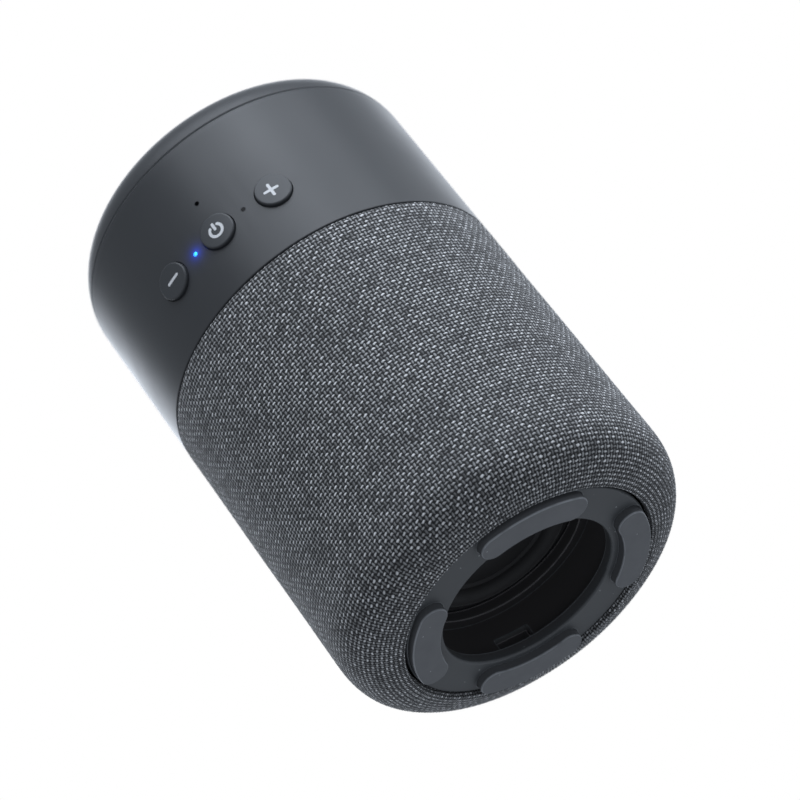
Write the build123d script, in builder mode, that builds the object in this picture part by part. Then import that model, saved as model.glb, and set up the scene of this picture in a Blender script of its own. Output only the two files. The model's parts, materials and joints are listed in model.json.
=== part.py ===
from build123d import *
import math
import os

# A portable bluetooth speaker: an upright cylinder in a woven sleeve, with a plastic band of three
# buttons above it, a rounded top cover, and a foot ring around a recessed passive radiator.
# Millimetres. The origin is on the axis at the table, +Z is up, and the buttons face -Y.
# Azimuths are degrees from +X towards +Y.

os.makedirs("parts", exist_ok=True)

# ---- Driving dimensions -------------------------------------------------------------------------
BODY_RADIUS = 40.0
OVERALL_HEIGHT = 125.7
FOOT_HEIGHT = 2.0  # the foot pads stand this far below the foot ring
SLEEVE_TOP = 77.5  # upper end of the woven sleeve
BAND_BOTTOM = 77.9  # a shadow groove separates the sleeve from the band
BAND_TOP = 116.9
COVER_BOTTOM = 117.15  # a second, finer groove lies between the band and the cover
FRONT = 270.0
REAR = 90.0
SLIDE_GAP = 0.2  # clearance around a moving button
SCREW_FIT = 0.02  # a tapped hole is wider than its screw by this on the radius
SCREW_PLAY = 0.3  # a plain screw hole is wider by this on the radius
HEAD_WIDTH = 1.8  # a screw's head, as a multiple of its shank
HEAD_RISE = 1.1
SOCKET_WIDTH = 0.9
SOCKET_DEPTH = 0.6  # as a share of the head's height
CUT_MARGIN = 1.0  # a cut or a joined block starts this far inside the solid it meets

# ---- Woven sleeve and its frame -----------------------------------------------------------------
FABRIC = 0.9
GRILLE_WALL = 2.0
RIM_RADIUS = 29.1  # where the sleeve turns up inside the foot ring's gap
RIM_HEIGHT = 1.2
RIM_ROUND = 0.7
TUCK_TOP = 4.0
SKIRT_TOP = 13.3  # the sleeve is straight above this and pulls in below it
SKIRT_REACH = 6.5
SKIRT_SLOPE = 1.4
SKIRT_HANDLE = 7.8
SKIRT_SHRINK = 0.065  # how much a curve's handles shorten for each mm it lies inside the surface
DECK_BOTTOM = 75.3

# ---- Foot ring and well -------------------------------------------------------------------------
RING_RADIUS = 28.6
RING_THICK = 2.4
RING_ROUND = 0.5
LIP_RADIUS = 20.0
WELL_RADIUS = 22.7
WELL_WALL = 1.8
FLOOR_BOTTOM = 14.4
FLOOR_THICK = 2.5
FLOOR_HOLE = 20.4
SNAP_WIDTH = 8.0
SNAP_HEIGHT = 3.0
SNAP_BOTTOM = 5.8
SNAP_AZIMUTHS = (120.0, 300.0)

# ---- Foot pads ----------------------------------------------------------------------------------
FOOT_CENTRE = 25.0
FOOT_WIDTH = 6.4
FOOT_HALF_ARC = 21.2
FOOT_POCKET = 0.8
FOOT_ROUND = 0.35
FOOT_PLAY = 0.1
FEET = {"foot_right": 30.0, "foot_rear": 120.0, "foot_left": 210.0, "foot_front": 300.0}

# ---- Housing and passive radiator ---------------------------------------------------------------
HOUSING_RADIUS = 34.0
HOUSING_WALL = 2.0
HOUSING_TOP = 55.4
RADIATOR_OUTER = 22.6
RADIATOR_GASKET = 0.8
RADIATOR_FRAME = 1.8
ROLL_CENTRE = 16.1
ROLL_RADIUS = 2.1
ROLL_WALL = 0.4
GLUE_WIDTH = 1.4
RADIATOR_PLAY = 0.2  # the radiator parts stand back from the floor's hole by this
RADIATOR_PLATE = 1.4
WEIGHT_RADIUS = 9.0
WEIGHT_THICK = 2.5
STACK_RADIUS = 29.0  # circle of the long screws that clamp housing, baffle, diffuser and deck
STACK_AZIMUTHS = (45.0, 135.0, 225.0, 315.0)
STACK_BOSS = 3.3
PILLAR_RADIUS = 2.6
STACK_SCREW = 1.25

# ---- Driver -------------------------------------------------------------------------------------
BAFFLE_GASKET = 0.6
BAFFLE_THICK = 2.4
BAFFLE_HOLE = 21.2
DRIVER_GASKET = 0.6
DRIVER_RADIUS = 25.2
FLANGE_INNER = 19.9
FLANGE_THICK = 1.5
BASKET_DEPTH = 14.0
SHELF_DEPTH = 10.0
NECK_DEPTH = 8.0
CONE_WALL = 0.4
CONE_RADIUS = 17.4
COIL_INNER = 6.3
COIL_OUTER = 6.65
WINDING_OUTER = 6.95
POLE_RADIUS = 5.95
GAP_RADIUS = 7.15

# ---- Diffuser and deck --------------------------------------------------------------------------
DIFFUSER_RADIUS = 31.8
DIFFUSER_THICK = 2.4
DIFFUSER_TIP = 64.0
DIFFUSER_CONE = 22.0
DECK_RADIUS = 39.0
CABLE_RADIUS = 0.8
CABLE_HOLE = 1.6

# ---- Band, cover and electronics ----------------------------------------------------------------
SHELL_WALL = 2.0
SHOULDER_START = 115.5  # the outline starts to round over here
SHOULDER_RADIAL = 7.96
SEAM_ROUND = 0.25
SKIRT_DROP = 4.8
BAND_SCREW_CIRCLE = 34.5
BAND_SCREW_AZIMUTHS = (0.0, 75.0, 105.0, 180.0, 240.0, 300.0)
BAND_BOSS = 3.6
BAND_BOSS_TOP = 85.0
BOARD_BOTTOM = 81.6
BOARD_THICK = 1.6
BOARD_SCREW_X = 20.0
BOARD_SCREW_Y = (-14.0, 26.0)
CELL_RADIUS = 9.2
CELL_LENGTH = 65.0
CELL_Y = 6.0
CELL_Z = 99.0
CRADLE_BOTTOM = 86.4
CRADLE_THICK = 2.0

# ---- Buttons and lights -------------------------------------------------------------------------
BUTTON_Z = 92.3
BUTTON_PITCH = 20.5  # degrees between neighbouring buttons
BUTTONS = {
    "volume_down": FRONT - BUTTON_PITCH,
    "power": FRONT,
    "volume_up": FRONT + BUTTON_PITCH,
}
BUTTON_RADIUS = 4.0
BUTTON_PROUD = 0.8
BUTTON_ROUND = 0.35
BUTTON_TRAVEL = 0.4
KEEPER_RADIUS = 5.3  # the collar that holds a button behind the wall
KEEPER_FRONT = 37.4
KEEPER_THICK = 0.7
STEM_RADIUS = 1.6
PLUNGER_RADIUS = 1.0
PLUNGER_LENGTH = 1.9
SWITCH_SIZE = 4.5
SWITCH_BACK = 31.3
SWITCH_FRONT = 34.0
FLEX_THICK = 0.4
BRACKET_WALL = 2.0
PANEL_START = 240.0
PANEL_END = 300.0
POST_AZIMUTHS = (252.0, 288.0)
POST_INSET = 2.0
LIGHT_HOLE = 0.55
LIGHT_RADIUS = 0.5
STATUS_AZIMUTH = 260.3
STATUS_Z = 92.4
CHARGE_AZIMUTH = 280.0
CHARGE_Z = 92.6
MICROPHONE_Z = 101.5
PORT_WIDTH = 8.9
PORT_HEIGHT = 3.2
PORT_DEPTH = 7.3
PORT_FRONT = 37.5
PORT_PLAY = 0.3

# ---- Heights and radii that follow --------------------------------------------------------------
ring_top = FOOT_HEIGHT + RING_THICK
tube_outer = WELL_RADIUS + WELL_WALL
floor_top = FLOOR_BOTTOM + FLOOR_THICK
foot_top = FOOT_HEIGHT + FOOT_POCKET
radiator_frame_bottom = floor_top + RADIATOR_GASKET
baffle_bottom = HOUSING_TOP + BAFFLE_GASKET
baffle_top = baffle_bottom + BAFFLE_THICK
flange_bottom = baffle_top + DRIVER_GASKET
flange_top = flange_bottom + FLANGE_THICK
diffuser_bottom = DECK_BOTTOM - DIFFUSER_THICK
band_inner = BODY_RADIUS - SHELL_WALL
board_top = BOARD_BOTTOM + BOARD_THICK
flex_back = SWITCH_BACK - FLEX_THICK
button_front = BODY_RADIUS + BUTTON_PROUD
cradle_top = CRADLE_BOTTOM + CRADLE_THICK


# ---- Shared outlines ----------------------------------------------------------------------------
def around(radius, azimuth, height=0.0):
    """The point at a radius, an azimuth and a height."""
    angle = math.radians(azimuth)
    return Vector(radius * math.cos(angle), radius * math.sin(angle), height)


def facing(azimuth, radius, height):
    """A plane square to the radius at that azimuth: its normal points outward, its local Y up."""
    outward = around(1.0, azimuth)
    tangent = Vector(-outward.Y, outward.X, 0.0)
    return Plane(origin=around(radius, azimuth, height), x_dir=tangent, z_dir=outward)


def circle_of(radius, azimuths):
    """The points of a screw circle."""
    return [around(radius, azimuth) for azimuth in azimuths]


def ring(inner, outer, height):
    """A flat ring about the axis, drawn at a height."""
    with BuildSketch(Plane.XY.offset(height)) as outline:
        Circle(outer)
        Circle(inner, mode=Mode.SUBTRACT)
    return outline.sketch


def dots(points, radius, height):
    """A circle at each point, drawn at a height."""
    with BuildSketch(Plane.XY.offset(height)) as outline:
        with Locations(*[(point.X, point.Y) for point in points]):
            Circle(radius)
    return outline.sketch


def section(*points):
    """A closed half section of (radius, height) corners, to be turned about the axis."""
    with BuildSketch(Plane.XZ) as outline:
        with BuildLine():
            Polyline(*points, close=True)
        make_face()
    return outline.sketch


def sector(inner, outer, start, end, height):
    """A piece of a flat ring between two azimuths, drawn at a height."""
    with BuildSketch(Plane.XY.offset(height)) as outline:
        with BuildLine():
            far = CenterArc((0, 0), outer, start, end - start)
            near = CenterArc((0, 0), inner, start, end - start)
            Line(far @ 0, near @ 0)
            Line(far @ 1, near @ 1)
        make_face()
    return outline.sketch


def foot_outline(azimuth, play, height):
    """The curved slot shape of a foot pad, grown by the play on every side."""
    start = azimuth - FOOT_HALF_ARC
    arc = CenterArc((0, 0), FOOT_CENTRE, start, 2 * FOOT_HALF_ARC, mode=Mode.PRIVATE)
    with BuildSketch(Plane.XY.offset(height)) as outline:
        SlotArc(arc, FOOT_WIDTH + 2 * play)
    return outline.sketch


def skirt(depth):
    """Control points of the curve from the rim up to the straight side, at a depth in the wall."""
    shrink = 1 - SKIRT_SHRINK * depth
    start = Vector(RIM_RADIUS + RIM_ROUND + depth / 4, RIM_HEIGHT + depth)
    end = Vector(BODY_RADIUS - depth, SKIRT_TOP)
    leave = start + Vector(SKIRT_REACH, SKIRT_SLOPE) * shrink
    arrive = end - Vector(0, SKIRT_HANDLE) * shrink
    return start, leave, arrive, end


def screws(points, seat, length, radius, up):
    """A group of pan-head screws whose heads sit on a plane and whose shanks run up or down."""
    side = 1 if up else -1
    head_height = HEAD_RISE * radius
    socket_depth = SOCKET_DEPTH * head_height
    with BuildPart() as group:
        extrude(dots(points, radius, seat), amount=side * length)
        extrude(dots(points, HEAD_WIDTH * radius, seat), amount=-side * head_height)
        with BuildSketch(Plane.XY.offset(seat - side * head_height)):
            with Locations(*[(point.X, point.Y) for point in points]):
                RegularPolygon(SOCKET_WIDTH * radius, side_count=6)
        extrude(amount=side * socket_depth, mode=Mode.SUBTRACT)
    return group


# ---- Foot ring, pads and screws -----------------------------------------------------------------
BASE_SCREW_SHIFT = 18.0  # each screw hides under one end of a pad, clear of the snap windows
BASE_SCREW_CIRCLE = 25.6
base_screw_points = circle_of(BASE_SCREW_CIRCLE, [azimuth + BASE_SCREW_SHIFT for azimuth in FEET.values()])
BASE_SCREW = 1.1
BASE_PILLAR = 2.8
base_seat = ring_top

with BuildPart() as base_ring:
    revolve(
        section(
            (LIP_RADIUS, FOOT_HEIGHT),
            (RING_RADIUS, FOOT_HEIGHT),
            (RING_RADIUS, ring_top),
            (tube_outer, ring_top),
            (tube_outer, FLOOR_BOTTOM),
            (WELL_RADIUS, FLOOR_BOTTOM),
            (WELL_RADIUS, ring_top),
            (LIP_RADIUS, ring_top),
        ),
        axis=Axis.Z,
    )
    fillet(base_ring.edges().group_by(Axis.Z)[0], RING_ROUND)
    extrude(dots(base_screw_points, BASE_PILLAR, ring_top), amount=FLOOR_BOTTOM - ring_top)
    for foot_azimuth in FEET.values():
        pocket = foot_outline(foot_azimuth, FOOT_PLAY, FOOT_HEIGHT)
        extrude(pocket, amount=FOOT_POCKET, mode=Mode.SUBTRACT)
    extrude(
        dots(base_screw_points, HEAD_WIDTH * BASE_SCREW + SCREW_PLAY, foot_top),
        amount=base_seat - foot_top,
        mode=Mode.SUBTRACT,
    )
    extrude(
        dots(base_screw_points, BASE_SCREW + SCREW_PLAY, base_seat),
        amount=FLOOR_BOTTOM - base_seat,
        mode=Mode.SUBTRACT,
    )
    window_z = SNAP_BOTTOM + SNAP_HEIGHT / 2
    with BuildSketch(*[facing(azimuth, LIP_RADIUS, window_z) for azimuth in SNAP_AZIMUTHS]):
        RectangleRounded(SNAP_WIDTH, SNAP_HEIGHT, SNAP_HEIGHT / 8)
    extrude(amount=tube_outer - LIP_RADIUS + CUT_MARGIN, mode=Mode.SUBTRACT)
base_ring.part.label = "base_ring"
export_step(base_ring.part, "parts/base_ring.step")

for foot_name, foot_azimuth in FEET.items():
    with BuildPart() as foot:
        extrude(foot_outline(foot_azimuth, 0.0, 0.0), amount=foot_top)
        fillet(foot.edges().group_by(Axis.Z)[0], FOOT_ROUND)
    foot.part.label = foot_name
    export_step(foot.part, f"parts/{foot_name}.step")

BASE_SCREW_LENGTH = 17.0
base_screws = screws(base_screw_points, base_seat, BASE_SCREW_LENGTH, BASE_SCREW, up=True)
base_screws.part.label = "base_screws"
export_step(base_screws.part, "parts/base_screws.step")

# ---- Woven sleeve and perforated frame ----------------------------------------------------------
with BuildPart() as fabric_sleeve:
    with BuildSketch(Plane.XZ):
        with BuildLine():
            outside = Bezier(*skirt(0.0))
            inside = Bezier(*skirt(FABRIC))
            Line(outside @ 1, (BODY_RADIUS, SLEEVE_TOP))
            Line((BODY_RADIUS, SLEEVE_TOP), (BODY_RADIUS - FABRIC, SLEEVE_TOP))
            Line((BODY_RADIUS - FABRIC, SLEEVE_TOP), inside @ 1)
            Line(inside @ 0, ((inside @ 0).X, TUCK_TOP))
            Line(((inside @ 0).X, TUCK_TOP), (RIM_RADIUS, TUCK_TOP))
            Line((RIM_RADIUS, TUCK_TOP), (RIM_RADIUS, RIM_HEIGHT + RIM_ROUND))
            RadiusArc((RIM_RADIUS, RIM_HEIGHT + RIM_ROUND), outside @ 0, -RIM_ROUND)
        make_face()
    revolve(axis=Axis.Z)
fabric_sleeve.part.label = "fabric_sleeve"
export_step(fabric_sleeve.part, "parts/fabric_sleeve.step")

SOUND_SLOTS = 20
SOUND_SLOT_WIDTH = 7.0
SOUND_SLOT_HEIGHT = 14.0
sound_slot_z = (baffle_top + diffuser_bottom) / 2

with BuildPart() as grille_frame:
    with BuildSketch(Plane.XZ):
        with BuildLine():
            outside = Bezier(*skirt(FABRIC))
            inside = Bezier(*skirt(FABRIC + GRILLE_WALL))
            Line(outside @ 1, ((outside @ 1).X, DECK_BOTTOM))
            Line(((outside @ 1).X, DECK_BOTTOM), ((inside @ 1).X, DECK_BOTTOM))
            Line(((inside @ 1).X, DECK_BOTTOM), inside @ 1)
            Polyline(inside @ 0, ((outside @ 0).X, (inside @ 0).Y), outside @ 0)
        make_face()
    revolve(axis=Axis.Z)
    slot_azimuths = [turn * 360 / SOUND_SLOTS for turn in range(SOUND_SLOTS)]
    with BuildSketch(*[facing(azimuth, HOUSING_RADIUS, sound_slot_z) for azimuth in slot_azimuths]):
        RectangleRounded(SOUND_SLOT_WIDTH, SOUND_SLOT_HEIGHT, SOUND_SLOT_WIDTH / 4)
    extrude(amount=BODY_RADIUS - HOUSING_RADIUS, mode=Mode.SUBTRACT)
grille_frame.part.label = "grille_frame"
export_step(grille_frame.part, "parts/grille_frame.step")

# ---- Housing ------------------------------------------------------------------------------------
RIB_WIDTH = 1.6
RIB_COUNT = 8
RIB_BOTTOM = 20.0
RIB_HEIGHT = 30.0
RIB_PLAY = 0.1
STACK_BOSS_LENGTH = 18.0
BASE_BOSS_TOP = 24.0
HOOK_PLAY = 0.3
HOOK_THICK = 1.6
BOSS_FLOOR = 1.0  # solid end of a blind screw boss
rib_reach = BODY_RADIUS - FABRIC - GRILLE_WALL - RIB_PLAY
housing_inner = HOUSING_RADIUS - HOUSING_WALL
rib_root = HOUSING_RADIUS - CUT_MARGIN
stack_points = circle_of(STACK_RADIUS, STACK_AZIMUTHS)

with BuildPart() as lower_housing:
    revolve(
        section(
            (FLOOR_HOLE, FLOOR_BOTTOM),
            (HOUSING_RADIUS, FLOOR_BOTTOM),
            (HOUSING_RADIUS, HOUSING_TOP),
            (housing_inner, HOUSING_TOP),
            (housing_inner, floor_top),
            (FLOOR_HOLE, floor_top),
        ),
        axis=Axis.Z,
    )
    extrude(dots(base_screw_points, BASE_PILLAR, floor_top), amount=BASE_BOSS_TOP - floor_top)
    boss_bottom = HOUSING_TOP - STACK_BOSS_LENGTH
    extrude(dots(stack_points, STACK_BOSS, boss_bottom), amount=STACK_BOSS_LENGTH)
    rib_azimuths = [turn * 360 / RIB_COUNT for turn in range(RIB_COUNT)]
    rib_z = RIB_BOTTOM + RIB_HEIGHT / 2
    with BuildSketch(*[facing(azimuth, rib_root, rib_z) for azimuth in rib_azimuths]):
        Rectangle(RIB_WIDTH, RIB_HEIGHT)
    extrude(amount=rib_reach - rib_root)
    # Two hooks hang below the floor, outside the well, and latch in its windows.
    hook_width = SNAP_WIDTH - 2 * HOOK_PLAY
    hook_bottom = SNAP_BOTTOM + HOOK_PLAY
    hook_height = FLOOR_BOTTOM - hook_bottom
    hook_inner = tube_outer + FOOT_PLAY
    hook_z = hook_bottom + hook_height / 2
    with BuildSketch(*[facing(azimuth, hook_inner, hook_z) for azimuth in SNAP_AZIMUTHS]):
        Rectangle(hook_width, hook_height)
    extrude(amount=HOOK_THICK)
    nose_height = SNAP_HEIGHT - 2 * HOOK_PLAY
    nose_z = hook_bottom + nose_height / 2
    with BuildSketch(*[facing(azimuth, hook_inner, nose_z) for azimuth in SNAP_AZIMUTHS]):
        Rectangle(hook_width, nose_height)
    extrude(amount=-WELL_WALL / 2)
    extrude(
        dots(base_screw_points, BASE_SCREW + SCREW_FIT, FLOOR_BOTTOM),
        amount=BASE_BOSS_TOP - FLOOR_BOTTOM,
        mode=Mode.SUBTRACT,
    )
    extrude(
        dots(stack_points, STACK_SCREW + SCREW_FIT, HOUSING_TOP),
        amount=BOSS_FLOOR - STACK_BOSS_LENGTH,
        mode=Mode.SUBTRACT,
    )
lower_housing.part.label = "lower_housing"
export_step(lower_housing.part, "parts/lower_housing.step")

# ---- Passive radiator ---------------------------------------------------------------------------
with BuildPart() as radiator_gasket:
    extrude(ring(FLOOR_HOLE + RADIATOR_PLAY, RADIATOR_OUTER, floor_top), amount=RADIATOR_GASKET)
radiator_gasket.part.label = "radiator_gasket"
export_step(radiator_gasket.part, "parts/radiator_gasket.step")

with BuildPart() as radiator_frame:
    radiator_opening = ROLL_CENTRE + ROLL_RADIUS + ROLL_WALL
    extrude(ring(radiator_opening, RADIATOR_OUTER, radiator_frame_bottom), amount=RADIATOR_FRAME)
radiator_frame.part.label = "radiator_frame"
export_step(radiator_frame.part, "parts/radiator_frame.step")

roll_base = radiator_frame_bottom - ROLL_WALL
roll_inner = ROLL_RADIUS - ROLL_WALL
plate_radius = ROLL_CENTRE - roll_inner
surround_reach = FLOOR_HOLE - RADIATOR_PLAY - ROLL_CENTRE

with BuildPart() as radiator_surround:
    with BuildSketch(Plane.XZ):
        with Locations((ROLL_CENTRE, roll_base)):
            Circle(ROLL_RADIUS)
            Circle(roll_inner, mode=Mode.SUBTRACT)
            Rectangle(
                2 * ROLL_RADIUS,
                ROLL_RADIUS,
                align=(Align.CENTER, Align.MIN),
                mode=Mode.SUBTRACT,
            )
        with Locations((ROLL_CENTRE + roll_inner, roll_base)):
            Rectangle(surround_reach - roll_inner, ROLL_WALL, align=Align.MIN)
        with Locations((ROLL_CENTRE - roll_inner, roll_base)):
            Rectangle(ROLL_WALL + GLUE_WIDTH, ROLL_WALL, align=(Align.MAX, Align.MIN))
    revolve(axis=Axis.Z)
radiator_surround.part.label = "radiator_surround"
export_step(radiator_surround.part, "parts/radiator_surround.step")

with BuildPart() as radiator_plate:
    with BuildSketch(Plane.XY.offset(radiator_frame_bottom)):
        Circle(plate_radius)
    extrude(amount=RADIATOR_PLATE)
    with BuildSketch(Plane.XY.offset(roll_base)):
        Circle(plate_radius - ROLL_WALL - GLUE_WIDTH)
    extrude(amount=ROLL_WALL)
    fillet(radiator_plate.edges().group_by(Axis.Z)[0], ROLL_WALL / 2)
radiator_plate.part.label = "radiator_plate"
export_step(radiator_plate.part, "parts/radiator_plate.step")

with BuildPart() as radiator_weight:
    with BuildSketch(Plane.XY.offset(radiator_frame_bottom + RADIATOR_PLATE)):
        Circle(WEIGHT_RADIUS)
    extrude(amount=WEIGHT_THICK)
    chamfer(radiator_weight.edges().group_by(Axis.Z)[-1], WEIGHT_THICK / 8)
radiator_weight.part.label = "radiator_weight"
export_step(radiator_weight.part, "parts/radiator_weight.step")

# ---- Baffle -------------------------------------------------------------------------------------
DRIVER_SCREW = 0.8
DRIVER_SCREW_CIRCLE = 23.4
DRIVER_SCREW_AZIMUTHS = (0.0, 90.0, 180.0, 270.0)
DRIVER_SCREW_LENGTH = 4.6
CABLE_CIRCLE = 27.0
CABLE_AZIMUTH = 70.0
driver_screw_points = circle_of(DRIVER_SCREW_CIRCLE, DRIVER_SCREW_AZIMUTHS)
cable_points = circle_of(CABLE_CIRCLE, [CABLE_AZIMUTH])

with BuildPart() as housing_gasket:
    extrude(ring(housing_inner, HOUSING_RADIUS, HOUSING_TOP), amount=BAFFLE_GASKET)
housing_gasket.part.label = "housing_gasket"
export_step(housing_gasket.part, "parts/housing_gasket.step")

with BuildPart() as baffle:
    extrude(ring(BAFFLE_HOLE, HOUSING_RADIUS, baffle_bottom), amount=BAFFLE_THICK)
    for points, radius in (
        (stack_points, STACK_SCREW + SCREW_PLAY),
        (driver_screw_points, DRIVER_SCREW + SCREW_FIT),
        (cable_points, CABLE_HOLE),
    ):
        extrude(dots(points, radius, baffle_bottom), amount=BAFFLE_THICK, mode=Mode.SUBTRACT)
baffle.part.label = "baffle"
export_step(baffle.part, "parts/baffle.step")

# ---- Driver -------------------------------------------------------------------------------------
BASKET_TOP_RADIUS = 21.0
BASKET_FOOT_RADIUS = 16.4
SHELF_INNER = 13.2
SHELF_OUTER = 15.2
FOOT_RING_INNER = 8.2
BASKET_WALL = 1.5
VENT_WIDTH = 12.0
VENT_HEIGHT = 6.0
basket_bottom = flange_bottom - BASKET_DEPTH
shelf_top = flange_bottom - SHELF_DEPTH
neck_z = flange_bottom - NECK_DEPTH

with BuildPart() as driver_gasket:
    extrude(ring(BAFFLE_HOLE, DRIVER_RADIUS, baffle_top), amount=DRIVER_GASKET)
    extrude(
        dots(driver_screw_points, DRIVER_SCREW + SCREW_PLAY, baffle_top),
        amount=DRIVER_GASKET,
        mode=Mode.SUBTRACT,
    )
driver_gasket.part.label = "driver_gasket"
export_step(driver_gasket.part, "parts/driver_gasket.step")

with BuildPart() as driver_frame:
    revolve(
        section(
            (BASKET_TOP_RADIUS, flange_bottom),
            (BASKET_FOOT_RADIUS, shelf_top - BASKET_WALL),
            (BASKET_FOOT_RADIUS, basket_bottom),
            (FOOT_RING_INNER, basket_bottom),
            (FOOT_RING_INNER, basket_bottom + BASKET_WALL),
            (SHELF_INNER, basket_bottom + BASKET_WALL),
            (SHELF_INNER, shelf_top),
            (SHELF_OUTER, shelf_top),
            (FLANGE_INNER, flange_bottom),
            (FLANGE_INNER, flange_top),
            (DRIVER_RADIUS, flange_top),
            (DRIVER_RADIUS, flange_bottom),
        ),
        axis=Axis.Z,
    )
    vent_z = (shelf_top + flange_bottom) / 2
    with BuildSketch(*[facing(azimuth, SHELF_OUTER, vent_z) for azimuth in STACK_AZIMUTHS]):
        RectangleRounded(VENT_WIDTH, VENT_HEIGHT, VENT_HEIGHT / 4)
    extrude(amount=BASKET_TOP_RADIUS - SHELF_OUTER, mode=Mode.SUBTRACT)
    extrude(
        dots(driver_screw_points, DRIVER_SCREW + SCREW_PLAY, flange_bottom),
        amount=FLANGE_THICK,
        mode=Mode.SUBTRACT,
    )
driver_frame.part.label = "driver_frame"
export_step(driver_frame.part, "parts/driver_frame.step")

driver_screws = screws(driver_screw_points, flange_top, DRIVER_SCREW_LENGTH, DRIVER_SCREW, up=False)
driver_screws.part.label = "driver_screws"
export_step(driver_screws.part, "parts/driver_screws.step")

TOP_PLATE_RADIUS = 16.0
TOP_PLATE_THICK = 3.0
MAGNET_INNER = 9.0
MAGNET_OUTER = 17.0
MAGNET_THICK = 8.0
YOKE_RADIUS = 15.5
YOKE_THICK = 3.0
top_plate_bottom = basket_bottom - TOP_PLATE_THICK
magnet_bottom = top_plate_bottom - MAGNET_THICK
yoke_bottom = magnet_bottom - YOKE_THICK

with BuildPart() as driver_top_plate:
    extrude(ring(GAP_RADIUS, TOP_PLATE_RADIUS, top_plate_bottom), amount=TOP_PLATE_THICK)
driver_top_plate.part.label = "driver_top_plate"
export_step(driver_top_plate.part, "parts/driver_top_plate.step")

with BuildPart() as driver_magnet:
    extrude(ring(MAGNET_INNER, MAGNET_OUTER, magnet_bottom), amount=MAGNET_THICK)
    chamfer(driver_magnet.edges().group_by(Axis.Z)[0].sort_by(SortBy.LENGTH)[-1], MAGNET_THICK / 16)
driver_magnet.part.label = "driver_magnet"
export_step(driver_magnet.part, "parts/driver_magnet.step")

with BuildPart() as driver_yoke:
    with BuildSketch(Plane.XY.offset(yoke_bottom)):
        Circle(YOKE_RADIUS)
    extrude(amount=YOKE_THICK)
    with BuildSketch(Plane.XY.offset(magnet_bottom)):
        Circle(POLE_RADIUS)
    extrude(amount=basket_bottom - magnet_bottom)
    chamfer(driver_yoke.edges().group_by(Axis.Z)[0], YOKE_THICK / 4)
driver_yoke.part.label = "driver_yoke"
export_step(driver_yoke.part, "parts/driver_yoke.step")

FORMER_BELOW_GAP = 3.5
WINDING_LENGTH = 6.0
former_bottom = top_plate_bottom - FORMER_BELOW_GAP
former_top = neck_z + 2 * CONE_WALL
winding_bottom = former_bottom + (WINDING_OUTER - COIL_OUTER)

with BuildPart() as voice_coil:
    extrude(ring(COIL_INNER, COIL_OUTER, former_bottom), amount=former_top - former_bottom)
    extrude(ring(COIL_OUTER, WINDING_OUTER, winding_bottom), amount=WINDING_LENGTH)
voice_coil.part.label = "voice_coil"
export_step(voice_coil.part, "parts/voice_coil.step")

GLUE_GAP = 0.05
neck_radius = COIL_OUTER + GLUE_GAP

with BuildPart() as spider:
    extrude(ring(neck_radius, SHELF_OUTER - CONE_WALL, shelf_top), amount=CONE_WALL)
spider.part.label = "spider"
export_step(spider.part, "parts/spider.step")

CONE_RIM = 1.4
cone_rim_bottom = flange_top - CONE_WALL
cone_rise = cone_rim_bottom - neck_z

with BuildPart() as driver_cone:
    revolve(
        section(
            (neck_radius, neck_z),
            (CONE_RADIUS - CONE_RIM, cone_rim_bottom),
            (CONE_RADIUS, cone_rim_bottom),
            (CONE_RADIUS, flange_top),
            (CONE_RADIUS - CONE_RIM - CONE_WALL / 2, flange_top),
            (neck_radius, neck_z + CONE_WALL),
        ),
        axis=Axis.Z,
    )
driver_cone.part.label = "driver_cone"
export_step(driver_cone.part, "parts/driver_cone.step")

CAP_RADIUS = 8.2
CAP_RISE = 2.5
cone_slope = cone_rise / (CONE_RADIUS - CONE_RIM - CONE_WALL / 2 - neck_radius)
cap_base = neck_z + CONE_WALL + (CAP_RADIUS - neck_radius) * cone_slope + CONE_WALL
cap_sphere = (CAP_RADIUS**2 + CAP_RISE**2) / (2 * CAP_RISE)

with BuildPart() as dust_cap:
    with BuildSketch(Plane.XZ):
        with Locations((0, cap_base + CAP_RISE - cap_sphere)):
            Circle(cap_sphere)
            Circle(cap_sphere - CONE_WALL, mode=Mode.SUBTRACT)
        with Locations((0, cap_base)):
            Rectangle(CAP_RADIUS, CAP_RISE, align=Align.MIN, mode=Mode.INTERSECT)
    revolve(axis=Axis.Z)
dust_cap.part.label = "dust_cap"
export_step(dust_cap.part, "parts/dust_cap.step")

SURROUND_WALL = 0.35
surround_centre = (CONE_RADIUS + FLANGE_INNER) / 2
surround_roll = (FLANGE_INNER - CONE_RADIUS) / 2 + SURROUND_WALL

with BuildPart() as driver_surround:
    with BuildSketch(Plane.XZ):
        with Locations((surround_centre, flange_top)):
            Circle(surround_roll)
            Circle(surround_roll - SURROUND_WALL, mode=Mode.SUBTRACT)
            Rectangle(
                2 * surround_roll,
                surround_roll,
                align=(Align.CENTER, Align.MAX),
                mode=Mode.SUBTRACT,
            )
        with Locations((surround_centre + surround_roll - SURROUND_WALL, flange_top)):
            Rectangle(CONE_RIM + SURROUND_WALL, SURROUND_WALL, align=Align.MIN)
        with Locations((surround_centre - surround_roll + SURROUND_WALL, flange_top)):
            Rectangle(CONE_RIM, SURROUND_WALL, align=(Align.MAX, Align.MIN))
    revolve(axis=Axis.Z)
driver_surround.part.label = "driver_surround"
export_step(driver_surround.part, "parts/driver_surround.step")

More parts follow.
